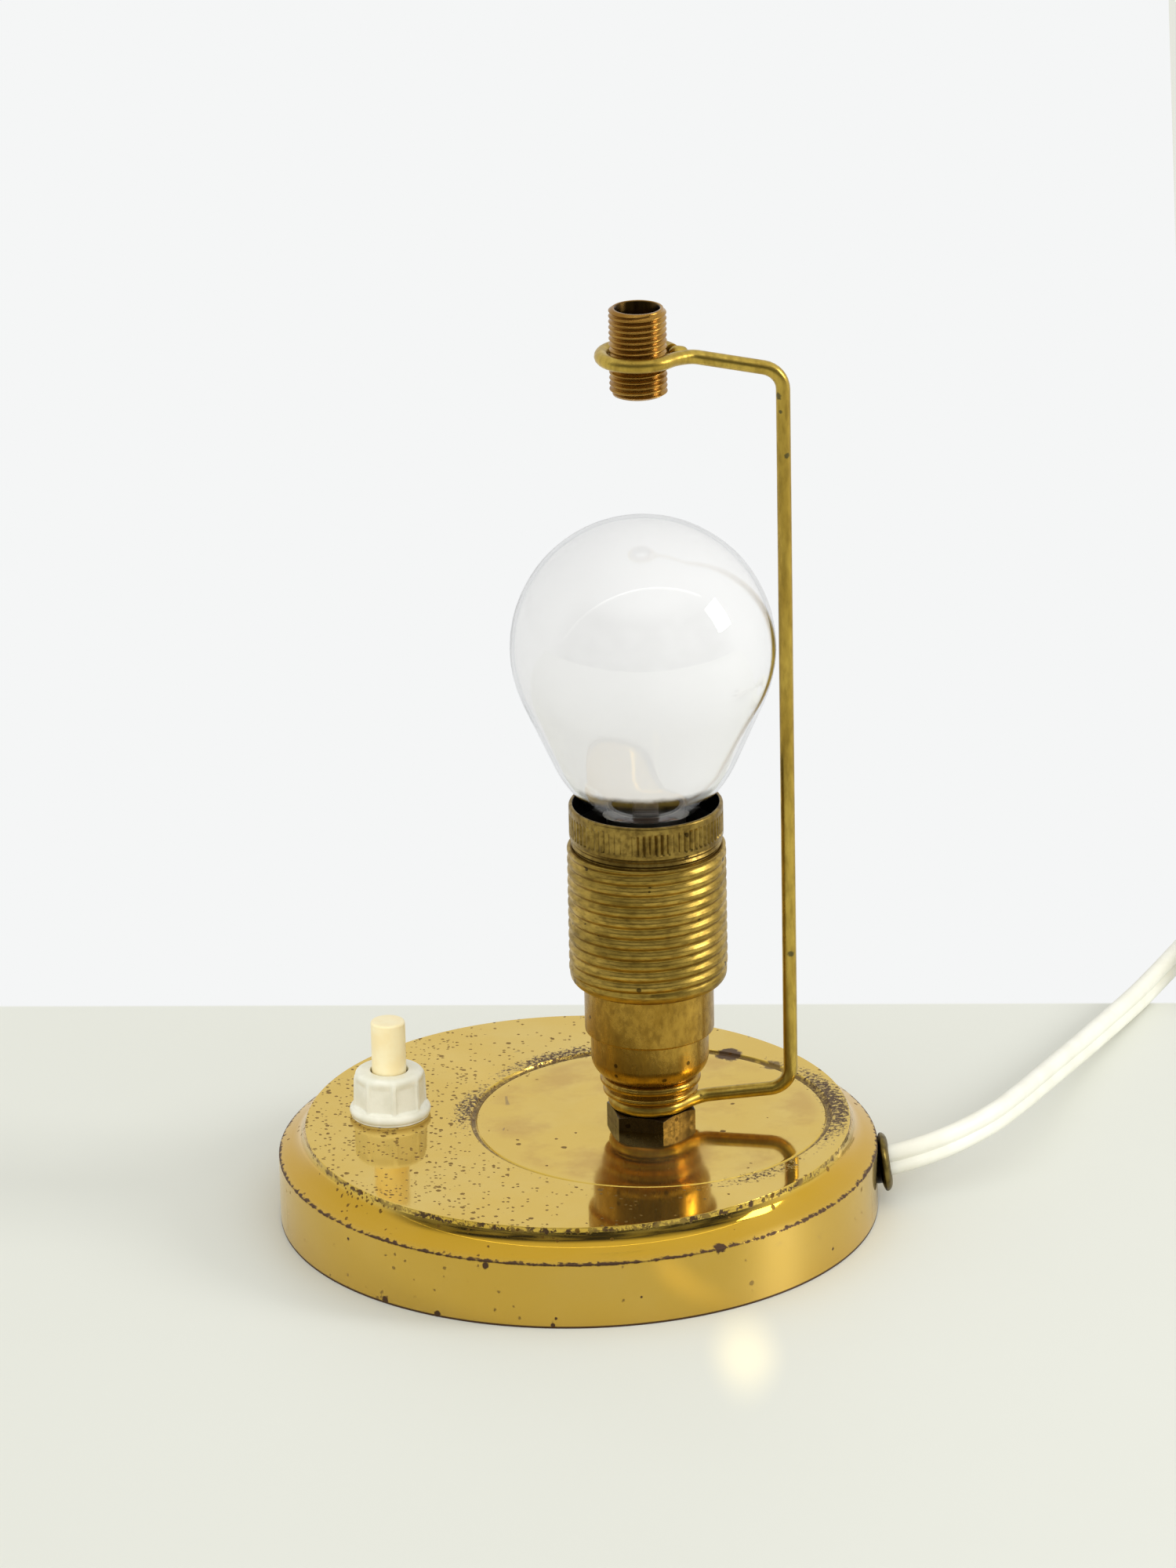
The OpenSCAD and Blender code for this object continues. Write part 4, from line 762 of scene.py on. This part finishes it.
def hermite(p, dp, q, dq, count):
    # the points between p and q on a bend that leaves along dp and arrives along dq
    points = []
    for i in range(1, count):
        t = i / count
        points.append(p * (2 * t ** 3 - 3 * t ** 2 + 1) + dp * (t ** 3 - 2 * t ** 2 + t) +
                      q * (3 * t ** 2 - 2 * t ** 3) + dq * (t ** 3 - t ** 2))
    return points


def eyePoints(height, slope, up):
    # from the free end round the eye, out along the arm and into the upright
    s = rodSettings
    leave, lean = math.radians(s["leave"]), math.radians(slope)
    points = [Vector((*p, height)) for p in arc((0, 0), s["eyeRadius"], s["end"], s["leave"] + 360, 34)]
    way = Vector((-math.sin(leave), math.cos(leave), 0))
    tilt = math.tan(lean) * up
    arm = Vector((s["armAt"], 0, height + (s["armAt"] - s["solderAt"]) * tilt))
    along = Vector((1, 0, tilt)).normalized()
    points += hermite(points[-1], way * 5.5, arm, along * 4.5, 8) + [arm]
    middle = Vector((s["reach"] - s["bend"], 0, height + up * (
        (s["reach"] - s["solderAt"]) * math.tan(lean) + s["bend"] * (1 - math.sin(lean)) / math.cos(lean))))
    return points + [middle + Vector((x, 0, up * z)) for x, z in arc((0, 0), s["bend"], slope - 90, 0, 8)]


def makeRod():
    s = rodSettings
    points = eyePoints(s["lowEye"], s["rise"], 1) + eyePoints(s["highEye"], s["fall"], -1)[::-1]
    rod = bentWire("bentRod", [(p.x + lampAxis[0], p.y + lampAxis[1], p.z) for p in points], s["radius"], 5)
    for height in (s["lowEye"], s["highEye"]):
        # lump of solder that closes the eye
        bpy.ops.mesh.primitive_ico_sphere_add(subdivisions=4, radius=s["solder"] * mm, location=(
            (s["solderAt"] - 0.5 + lampAxis[0]) * mm, (1.2 + lampAxis[1]) * mm, height * mm))
        lump = bpy.context.object
        for vert in lump.data.vertices:
            vert.co *= 1 + 0.09 * noise.noise(vert.co * 900 + Vector((height, 0, 0)))
        lump.scale = s["solderShape"]
        applyPlace(lump)
        joinTo(rod, lump)
    finishPiece(rod, "lamp", rodBrass, ("rod",), 50, False)


makeRod()
print("rod made")


# threads, screwed up from one pitch of the ridge

def threadOutline(root, crest, pitch, foot, flat, count):
    # one pitch of the ridge, from root to root; flat above 1 narrows the crest
    return [(root + (crest - root) * (0.5 - 0.5 * math.cos(2 * math.pi * k / count)) ** flat,
             foot + pitch * k / count) for k in range(count + 1)]


def threadedBand(name, axis, outline, pitch, turns, low, high, steps):
    # the screwed ridge cut level at low and high, open at both ends
    band = wire(name, outline, axis)
    applyModifier(band, "SCREW", angle=2 * math.pi, screw_offset=pitch * mm, iterations=turns, steps=steps,
                  render_steps=steps, use_merge_vertices=True, merge_threshold=1e-6)
    applyPlace(band)
    tidyMesh(band, 2e-6)
    for height, side in ((low, False), (high, True)):
        editMode()
        bpy.ops.mesh.select_all(action="SELECT")
        bpy.ops.mesh.bisect(plane_co=(0, 0, height * mm), plane_no=(0, 0, 1), clear_inner=not side,
                            clear_outer=side, threshold=1e-7)
        editMode(False)
    return band


def openRing(piece, height):
    # selects the open edges at one height
    pickEdges(piece, lambda e: e.is_boundary and all(abs(v.co.z - height * mm) < 0.02 * mm for v in e.verts))


def closeBand(piece, axis, low, high, below, above):
    # carries both open ends on round the axis to the inside, and joins them there
    editMode()
    openRing(piece, low)
    growRing(piece, axis, below)
    openRing(piece, high)
    growRing(piece, axis, above)
    pickEdges(piece, lambda e: e.is_boundary)
    bpy.ops.mesh.bridge_edge_loops()
    faceOut()


nippleSettings = {"root": 4.5, "crest": 5.0, "bore": 3.85, "pitch": 1.0, "turns": 18, "foot": 150.9,
                  "top": 166.3, "chamfer": 0.45}


def makeNipple():
    s = nippleSettings
    bore, base, top = s["bore"], s["foot"], s["top"]
    outline = threadOutline(s["root"], s["crest"], s["pitch"], base - 1.0, 0.9, 8)
    low, high = base + s["chamfer"], top - s["chamfer"]
    piece = threadedBand("shadeNipple", lampAxis, outline, s["pitch"], s["turns"], low, high, 48)
    lip = s["root"] - 0.06
    closeBand(piece, lampAxis, low, high,
              [(lip, base + 0.04), (lip - 0.12, base), (bore + 0.15, base),
               (bore, base + 0.2)],
              [(lip, top - 0.04), (lip - 0.12, top), (bore + 0.15, top),
               (bore, top - 0.2)])
    finishPiece(piece, "lamp", nippleBrass, ("top_nipple",), 60, False)


makeNipple()


# lampholder: spun cap, rolled sleeve and knurled collar

capSettings = {"foot": 21.564, "top": 46.764, "step": 33.764, "upper": 11.4, "lower": 10.4, "wall": 0.8}


def makeCap():
    s = capSettings
    upper, lower, wall, top = s["upper"], s["lower"], s["wall"], s["top"]
    foot = s["foot"]
    waist = arc((6.5, 28.964), 3.9, 0, -66, 10)
    outline = softened(
        [(5.1, foot), (6.9, foot), (6.95, foot + 0.2), (7.6, foot + 0.22)] +
        arc((7.8, foot + 0.8), 0.6, -70, 75, 6) + [(7.98, foot + 1.55)] +
        arc((8.0, foot + 2.9), 0.9, -65, 60, 8) + waist[::-1] +
        [(lower, 31.5), (lower, s["step"] - 0.25, 0.2), (upper, s["step"] + 0.1, 0.35),
         (upper, 42.0), (upper, top), (upper - wall, top),
         (upper - wall, 35.0), (lower - wall, 34.6), (lower - wall, 29.2),
         (7.1, 26.1), (5.1, 26.0), (5.1, foot)])
    cap = lathe("holderCap", outline, lampAxis, 144)
    finishPiece(cap, "lamp", capBrass, ("socket_cap",), 40)


makeCap()

sleeveSettings = {"foot": 42.764, "top": 68.264, "root": 13.5, "crest": 14.0, "inner": 13.05, "pitch": 2.0,
                  "turns": 15, "corner": 2.0, "hole": 11.45}


def makeSleeve():
    s = sleeveSettings
    foot, top, outer, inner, hole = s["foot"], s["top"], s["crest"], s["inner"], s["hole"]
    outline = threadOutline(s["root"], outer, s["pitch"], foot - 1.0, 0.75, 16)
    # the thread's rolled crest has a shallow line round its middle
    outline = [(r - 0.09 * math.exp(-((k - 8) / 1.3) ** 2), z) for k, (r, z) in enumerate(outline)]
    low, high = foot + s["corner"] + 0.5, top - 0.35
    sleeve = threadedBand("holderSleeve", lampAxis, outline, s["pitch"], s["turns"], low, high, 96)
    corner = arc((outer - 0.2 - s["corner"], foot + s["corner"]), s["corner"], 0, -90, 8)
    closeBand(sleeve, lampAxis, low, high,
              corner + [(hole + 0.1, foot), (hole, foot + 0.1),
                        (hole, foot + 0.9), (11.9, foot + 1.0),
                        (inner - 0.2, foot + 2.3), (inner, foot + 2.8)],
              [(outer - 0.15, top - 0.12), (outer - 0.3, top),
               (inner + 0.1, top), (inner, top - 0.15)])
    finishPiece(sleeve, "lamp", sleeveBrass, ("socket_sleeve",), 60, False)


makeSleeve()

collarSettings = {"foot": 70.164, "top": 76.164, "radius": 13.5, "lip": 0.4, "inner": 12.8, "skirt": 13.0,
                  "skirtFoot": 65.964, "bore": 11.65, "knurls": 78, "depth": 0.42, "knurlLow": 70.9,
                  "knurlHigh": 74.9}


def makeCollar():
    s = collarSettings
    foot, top, radius, inner, bore = s["foot"], s["top"], s["radius"], s["inner"], s["bore"]
    # what shows of the collar's own thread above the sleeve
    thread = [(13.2 if k % 2 else 12.95, 68.5 + k * 0.42) for k in range(5)]
    outline = softened(
        [(bore, s["skirtFoot"]), (s["skirt"], s["skirtFoot"]), (s["skirt"], 68.2)] + thread +
        [(13.1, foot), (radius - 0.02, foot + 0.02, 0.12), (radius, foot + 0.5),
         (radius, s["knurlLow"]), (radius, s["knurlLow"] + 0.4), (radius, s["knurlHigh"] - 0.4),
         (radius, s["knurlHigh"]), (radius, s["knurlHigh"] + 0.4),
         (radius, top, s["lip"]), (inner, top, 0.15),
         (inner, foot + 1.3), (bore, foot + 1.1), (bore, s["skirtFoot"])])
    collar = lathe("knurledCollar", outline, lampAxis, s["knurls"] * 3)
    # notches of the worn knurl, deeper here and shallower there
    for vert in collar.data.vertices:
        x, y, height = vert.co.x, vert.co.y, vert.co.z / mm
        column = round(math.atan2(y, x) / math.tau * s["knurls"] * 3) % 3
        outer = math.hypot(x, y) > (radius - 0.05) * mm
        if outer and s["knurlLow"] + 0.2 < height < s["knurlHigh"] - 0.2 and column == 0:
            wear = 0.8 + 0.6 * noise.noise(Vector((math.atan2(y, x) * 4, height * 0.6, 3.1)))
            k = 1 - s["depth"] * max(0.15, wear) * mm / math.hypot(x, y)
            vert.co.x, vert.co.y = x * k, y * k
    finishPiece(collar, "lamp", collarBrass, ("socket_collar",), 30)


makeCollar()
print("lampholder made")


# bulb: globe and neck of glass, with a white coat inside

bulbSettings = {"middle": 104.764, "radius": 23.1, "taper": 24, "flank": 9.0, "neckFoot": 75.364,
                "neck": 9.35, "seal": 6.65, "sealFoot": 61.864, "wall": 0.7, "coatGap": 0.12}


def globeOutline(inset):
    # crown, globe, straight flank and the round that draws in to the foot of the neck
    s = bulbSettings
    radius, rise = s["radius"], s["flank"]
    lean = math.radians(s["taper"])
    foot, flank = s["neckFoot"], s["neckFoot"] + rise
    drop = s["middle"] - radius * math.sin(lean) - flank
    flankRadius = radius * math.cos(lean) - drop * math.tan(lean)
    out = flankRadius - s["neck"]
    bend = (out ** 2 + rise ** 2) / 2 / (out * math.cos(lean) - rise * math.sin(lean))
    middle = (flankRadius - bend * math.cos(lean), flank + bend * math.sin(lean))
    low = math.degrees(math.asin((middle[1] - foot - inset) / (bend - inset)))
    globe = arc((0, s["middle"]), radius - inset, 90, -s["taper"], 44)
    neck = arc(middle, bend - inset, -s["taper"], -low, 14)
    between = [tuple(Vector(globe[-1]).lerp(Vector(neck[0]), k / 5)) for k in range(1, 5)]
    return globe + between + neck


def makeBulb():
    s = bulbSettings
    wall, seal, sealFoot = s["wall"], s["seal"], s["sealFoot"]
    outer = globeOutline(0.0)
    inner = globeOutline(wall)
    foot = s["neckFoot"]
    outline = [(0, outer[0][1])] + outer[1:-2] + softened(
        [outer[-2], (s["neck"], foot, 0.9), (seal, foot, 0.3), (seal, sealFoot, 0.6),
         (0, sealFoot)])
    back = softened([(0, sealFoot + wall), (seal - wall, sealFoot + wall, 0.4),
                     (seal - wall, foot + wall, 0.3), inner[-1] + (0.4,), inner[-2]])
    glass = lathe("bulbGlass", outline, lampAxis, 160)
    hollow = lathe("bulbHollow", back + inner[-3:0:-1] + [(0, inner[0][1])], lampAxis, 160)
    takeHold(hollow)
    editMode()
    bpy.ops.mesh.select_all(action="SELECT")
    bpy.ops.mesh.flip_normals()
    editMode(False)
    joinTo(glass, hollow)
    finishPiece(glass, "bulb", bulbGlass, ("bulb_glass",), 50, False)
    coatOutline = [p for p in globeOutline(wall + s["coatGap"]) if p[1] > coatLook["foot"] - 1.5]
    coatOutline[0] = (0, coatOutline[0][1])
    coat = lathe("bulbCoat", coatOutline, lampAxis, 128)
    finishPiece(coat, "bulb", silicaCoat, (), 50, False)


makeBulb()
print("bulb made")


# push switch: moulded collar, button and spring

switchSettings = {"foot": 16.714, "top": 25.214, "flange": 7.2, "flangeHeight": 2.0, "flute": 6.6,
                  "shrink": 0.3, "hole": 3.35, "neck": 4.95, "panels": 8, "turn": 31, "panelLow": 18.95,
                  "panelHigh": 24.8, "panelHalf": 0.41, "fade": 1.5, "shoulder": 1.4, "sink": 0.25}


def makeSwitchCollar():
    s = switchSettings
    flute, shrink, shoulder, neck, hole = s["flute"], s["shrink"], s["shoulder"], s["neck"], s["hole"]
    low, top = s["foot"], s["top"]
    rows = [(flute - shrink * (z - low) / (top - low), z)
            for z in (s["panelLow"] + 0.3125 * k for k in range(16))]
    outline = softened(
        [(neck, low), (s["flange"] - 0.25, low, 0.1)] +
        arc((s["flange"] - 0.98, low + 1.0), 0.98, -45, 62, 8) +
        [(flute + 0.02, low + s["flangeHeight"])] + rows +
        arc((flute - shrink - shoulder, top - shoulder), shoulder, 6, 86, 9) +
        [(4.2, top - 0.02), (hole, top - 0.03, 0.2), (hole, top - 1.2), (neck, top - 1.2),
         (neck, low)])
    collar = lathe("switchCollar", outline, switchAxis, s["panels"] * 24)
    # flat panels sunk between narrow ribs
    each = math.tau / s["panels"]
    for vert in collar.data.vertices:
        x, y = vert.co.x, vert.co.y
        reach = math.hypot(x, y)
        across = ((math.atan2(y, x) - math.radians(s["turn"])) / each + 0.5) % 1 - 0.5
        onPanel = abs(across) < s["panelHalf"] and s["panelLow"] - 0.01 < vert.co.z / mm < s["panelHigh"]
        if onPanel and reach > 5.6 * mm:
            flat = (reach - s["sink"] * mm) * math.cos(s["panelHalf"] * each) / math.cos(across * each)
            flat = reach + (flat - reach) * min(1, (s["panelHigh"] - vert.co.z / mm) / s["fade"])
            vert.co.x, vert.co.y = x * flat / reach, y * flat / reach
    applyModifier(collar, "BEVEL", width=0.1 * mm, segments=2, limit_method="ANGLE",
                  angle_limit=math.radians(35))
    finishPiece(collar, "lamp", collarPlastic, ("switch_collar",), 45)


buttonSettings = {"foot": 12.714, "top": 34.414, "radius": 3.05, "skirt": 0.9, "skirtHeight": 1.2,
                  "edge": 0.42}


def makeButton():
    s = buttonSettings
    foot, top, radius = s["foot"], s["top"], s["radius"]
    skirt, over = radius + s["skirt"], foot + s["skirtHeight"]
    outline = softened([(0, foot), (skirt, foot), (skirt, over), (radius, over), (radius, foot + 9),
                        (radius, top, s["edge"]), (1.6, top - 0.02), (0, top - 0.05)], 5)
    button = lathe("switchButton", outline, switchAxis, 72)
    finishPiece(button, "button", buttonPlastic, ("switch_plunger",), 35)


springSettings = {"floor": 5.714, "top": 12.114, "wire": 0.17, "radius": 3.15, "curls": 5, "pressed": 0.37}


def makeSpring():
    s = springSettings
    low, high = s["floor"] + s["wire"] + 0.02, s["top"] - s["wire"] - 0.02
    steps = s["curls"] * 24
    helix = []
    for i in range(steps + 1):
        a = math.tau * s["curls"] * i / steps
        helix.append((switchAxis[0] + s["radius"] * math.cos(a), switchAxis[1] + s["radius"] * math.sin(a),
                      low + (high - low) * i / steps))
    spring = bentWire("switchSpring", helix, s["wire"], 2)
    finishPiece(spring, "lamp", springSteel, ("switch_spring",), 50, False)
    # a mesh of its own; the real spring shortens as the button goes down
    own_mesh(spring)


makeSwitchCollar()
makeButton()
makeSpring()
print("switch made")


# dished bush where the lead leaves the base

bushSettings = {"radius": 5.25, "dish": 1.15, "bore": 3.2, "neck": 3.7, "neckLength": 2.9, "face": 53.794,
                "height": 7.2, "tilt": 7.6}


def makeBush():
    s = bushSettings
    bore, neck, dish, length = s["bore"], s["neck"], s["dish"], s["neckLength"]
    mouth = bore + 0.2
    face = [(mouth + (s["radius"] - mouth) * math.cos(t), 0.25 + dish * math.sin(t))
            for t in (math.radians(9 * k) for k in range(11))]
    outline = softened(
        [(neck, -length), (neck, -0.45), (4.25, -0.32), (4.75, -0.16), (5.1, 0.02)] + face +
        [(bore + 0.05, dish + 0.2), (bore, dish - 0.1), (bore, -length),
         (neck, -length)])
    bush = lathe("leadBush", outline, (0, 0), 96)
    bush.rotation_euler = (0, math.radians(90 - s["tilt"]), 0)
    bush.location = (s["face"] * mm, 0, s["height"] * mm)
    finishPiece(bush, "lamp", bushBrass, ("cord_bush",), 40)


makeBush()


# plug at the lead's far end

plugSettings = {"at": (194.5, 47.0), "halfHeight": 6.85, "bootLength": 20, "around": 48, "pinSpacing": 18.6,
                "pinRadius": 1.76, "leadSlot": (3.4, 3.0, 5.8), "rib": (15, 1.3, 1.3), "ribsFrom": 30,
                "ribPitch": 3, "ribsAside": 7.0}


def makePlug():
    s = plugSettings
    middle = Vector((s["at"][0], s["at"][1], s["halfHeight"]))
    # stations from the lead to the face: distance, half width, half height
    stations = [(0.0, 3.3, 3.4), (0.6, 3.7, 3.75)]
    for k in range(4):
        run = 3.2 + k * 4
        size = 3.75 + run * 0.085
        stations += [(run, size, size), (run + 0.5, size - 0.55, size - 0.55),
                     (run + 1.5, size - 0.5, size - 0.5), (run + 2.0, size + 0.1, size + 0.1)]
    stations += [(19.0, 5.35, 5.35), (21.5, 6.6, 5.9), (24.5, 9.4, 6.4), (27.5, 11.6, 6.75),
                 (30.0, 12.4, 6.85), (33.0, 12.5, 6.85), (37.0, 12.5, 6.85), (41.0, 12.5, 6.85),
                 (44.6, 12.5, 6.85), (45.6, 12.3, 6.65), (46.0, 11.7, 6.05)]
    bpy.ops.mesh.primitive_circle_add(vertices=s["around"], radius=mm, fill_type="NGON",
                                      location=middle * mm, rotation=(math.radians(90), 0, 0))
    plug = bpy.context.object
    plug.name = "plugBody"
    applyPlace(plug)
    turns = [math.atan2(v.co.z / mm - middle.z, v.co.x / mm - middle.x) for v in plug.data.vertices]

    def place(verts, station):
        # a rounded rectangle at the body, a plain round along the boot
        run, wide, high = station
        power = 2.0 + min(2.2, max(0, run - s["bootLength"]) * 0.3)
        for vert, a in zip(verts, turns):
            c, n = math.cos(a), math.sin(a)
            r = (abs(c / wide) ** power + abs(n / high) ** power) ** (-1 / power)
            vert.co = Vector((middle.x + r * c, middle.y - run, middle.z + r * n)) * mm

    place(plug.data.vertices, stations[0])
    editMode()
    bpy.ops.mesh.select_all(action="SELECT")
    for station in stations[1:]:
        bpy.ops.mesh.extrude_region_move(TRANSFORM_OT_translate={"value": (0, -mm, 0)})
        mesh = bmesh.from_edit_mesh(plug.data)
        place(sorted((v for v in mesh.verts if v.select), key=lambda v: v.index), station)
        bmesh.update_edit_mesh(plug.data)
    faceOut()
    # grip ribs sunk across both broad sides, and holes for the pins
    for k in range(4):
        for side in (-1, 1):
            along = middle.y - s["ribsFrom"] - k * s["ribPitch"]
            bpy.ops.mesh.primitive_cube_add(size=mm, location=(
                middle.x * mm, along * mm, (middle.z + side * s["ribsAside"]) * mm))
            rib = bpy.context.object
            rib.scale = s["rib"]
            applyPlace(rib)
            applyModifier(rib, "BEVEL", width=0.3 * mm, segments=2)
            cutWith(plug, rib)
    for side in (-1, 1):
        pin = (middle.x + side * s["pinSpacing"] / 2, middle.y - 46, middle.z)
        drill(plug, s["pinRadius"], 16, pin, (90, 0, 0), 48)
    bpy.ops.mesh.primitive_cube_add(size=mm, location=middle * mm)
    slot = bpy.context.object
    slot.scale = s["leadSlot"]
    applyPlace(slot)
    cutWith(plug, slot)
    finishPiece(plug, "lamp", plugVinyl, ("plug_body",), 40)
    return plug


plug = makePlug()
print("bush and plug made")


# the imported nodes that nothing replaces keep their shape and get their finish

finishes = {
    "base_weight": castIron, "bottom_cover": coverSteel, "cover_screws": zincSteel, "felt_pad": felt,
    "stem_tube": nippleBrass, "stem_washer": zincSteel, "stem_locknut": innerBrass, "socket_core": porcelain,
    "screw_shell": shellCopper, "centre_contact": innerBrass, "terminal_posts": innerBrass,
    "terminal_screws": zincSteel, "bulb_cap": capMetal, "bulb_insulator": vitrite, "bulb_contact": solder,
    "bulb_mount": stemGlass, "filament": tungsten, "switch_body": switchPlastic, "contact_bridge": innerBrass,
    "switch_terminals": innerBrass, "bush_clip": innerBrass, "cord_saddle": saddlePlastic,
    "cord_inner": leadVinyl, "wire_neutral": greyWire, "wire_live": brownWire, "wire_switched": brownWire,
    "plug_pins": pinNickel}
for name, material in finishes.items():
    held = nodes[name].data.materials
    if not held:
        held.append(material)
    for i in range(len(held)):
        held[i] = material
print("finishes given")


# floor: the table's far edge, the frame's fan past it, and the warm patch in front of the base
stageSettings = {"edge": 94.6, "slant": -0.0457, "soft": 0.6, "middle": 3, "spread": 0.0647,
                 "halfWidth": 107.6, "table": "#DEDFD6", "tablePale": "#E1E2DB", "beyond": "#F5F6F6",
                 "patch": (27.8, -22.2), "patchStretch": (1, 0.34, 1), "patchGlow": 0.3,
                 "patchColour": "#FFE68E"}


def makeFloor():
    s = stageSettings
    bpy.ops.mesh.primitive_plane_add(size=6.0, location=(0, 0, -0.00005))
    floor = bpy.context.object
    floor.name = "tableTop"
    applyPlace(floor)
    material, add, place = startMaterial("paintedTableTop")
    parts = add("SeparateXYZ", [place], out=None)
    cloud = grain(add, place, 60, 2, 0.5)
    pale = add("MULTIPLY", [cloud, 0.5])
    colour = add("Mix", {0: pale, 6: s["table"], 7: s["tablePale"]}, **asColour)
    shine = add("MULTIPLY_ADD", [cloud, 0.1, 0.5])
    # the base's wall throws a patch of the window's light, warmed by the brass, forward on the table
    squeezed = add("Mapping", {"Vector": place, "Scale": s["patchStretch"]})
    glow = nearPoint(add, squeezed, s["patch"], 2.5, 10.5, cloud, 5, s["patchGlow"])
    table = add("BsdfPrincipled", {"Base Color": colour, "Roughness": shine,
                                   "Emission Color": s["patchColour"], "Emission Strength": glow})
    # past the table's edge the far wall's even white shows to the camera, to glass and in the brass,
    # to the camera only as wide as the photograph's frame, so that the coil beside it lies on the table
    path = add("LightPath", out=None)
    wide = add("MULTIPLY_ADD", [parts[1], s["spread"], s["halfWidth"] * mm])
    aside = add("SUBTRACT", [parts[0], s["middle"] * mm])
    aside = add("ABSOLUTE", [aside])
    framed = add("LESS_THAN", [aside, wide])
    seen = add("MULTIPLY", [path["Is Camera Ray"], framed])
    for ray in ("Is Glossy Ray", "Is Transmission Ray"):
        seen = add("MAXIMUM", [seen, path[ray]])
    along = add("MULTIPLY_ADD", [parts[0], -s["slant"], parts[1]])
    before, after = (s["edge"] - s["soft"]) * mm, (s["edge"] + s["soft"]) * mm
    past = add("MapRange", [along, before, after], **smooth)
    shown = add("MULTIPLY", [seen, past])
    white = add("Emission", {"Color": s["beyond"], "Strength": 1.0})
    add("OutputMaterial", {"Surface": add("MixShader", [shown, table, white])}, out=None)
    floor.data.materials.append(material)


# the room's walls, its dim camera side, the even light it gives, and the line that the tube lights lie on
roomSettings = {"wall": "#F7F8F8", "dim": "#201D11", "even": "#FBFBF8", "tubesAcross": (-0.158, 0.933, 0.322),
                "tubeHalfWidth": 0.006, "tubesAbove": 0.2, "tubesLeftOf": 0.72, "tubeStrength": 4.0}


def makeWorld():
    # even for lighting; in the brass the dim camera side and the row of tube lights show
    s = roomSettings
    world = bpy.data.worlds.new("whiteRoom")
    bpy.context.scene.world = world
    add = startTree(world)
    way = add("TexCoord", out="Generated")
    parts = add("SeparateXYZ", [way], out=None)
    front = add("MapRange", [parts[1], 0.05, -0.45], **smooth)
    low = add("MapRange", [parts[2], 0.84, 0.56], **smooth)
    dim = add("MULTIPLY", [front, low])
    clutter = grain(add, way, 300, 2, 0.5, (1, 1, 1.8))
    clutter = add("MapRange", [clutter, 0.3, 0.6, 0.7, 1.0], **smooth)
    dim = add("MULTIPLY", [dim, clutter])
    room = add("Mix", {0: dim, 6: s["wall"], 7: s["dim"]}, **asColour)
    across = add("VectorMath DOT_PRODUCT", [way, s["tubesAcross"]], out="Value")
    across = add("ABSOLUTE", [across])
    tubes = add("LESS_THAN", [across, s["tubeHalfWidth"]])
    overhead = add("GREATER_THAN", [parts[2], s["tubesAbove"]])
    tubes = add("MULTIPLY", [tubes, overhead])
    leftOf = add("LESS_THAN", [parts[0], s["tubesLeftOf"]])
    tubes = add("MULTIPLY", [tubes, leftOf])
    side = add("MapRange", [parts[0], -1.0, 1.0, 0.9, 1.05], **smooth)
    lit = add("MULTIPLY_ADD", [tubes, s["tubeStrength"], side])
    shown = add("Background", {"Color": room, "Strength": lit})
    evenly = add("MapRange", [parts[1], -0.8, 0.8, 1.5, 0.52], **smooth)
    even = add("Background", {"Color": s["even"], "Strength": evenly})
    path = add("LightPath", out=None)
    both = add("MixShader", [path["Is Glossy Ray"], even, shown])
    add("OutputWorld", {"Surface": both}, out=None)


windowSettings = {"place": (1320, -180, 720), "target": (0, 0, 60), "size": (380, 520), "power": 7}


def makeWindow():
    s = windowSettings
    bpy.ops.object.light_add(type="AREA", location=Vector(s["place"]) * mm)
    window = bpy.context.object
    window.name = "windowRight"
    window.data.shape = "RECTANGLE"
    window.data.size, window.data.size_y = s["size"][0] * mm, s["size"][1] * mm
    window.data.energy = s["power"]
    window.rotation_euler = (Vector(s["target"]) - Vector(s["place"])).to_track_quat("-Z", "Y").to_euler()


makeFloor()
makeWorld()
makeWindow()
bpy.context.scene.view_settings.view_transform = "Standard"

print("scene ready")
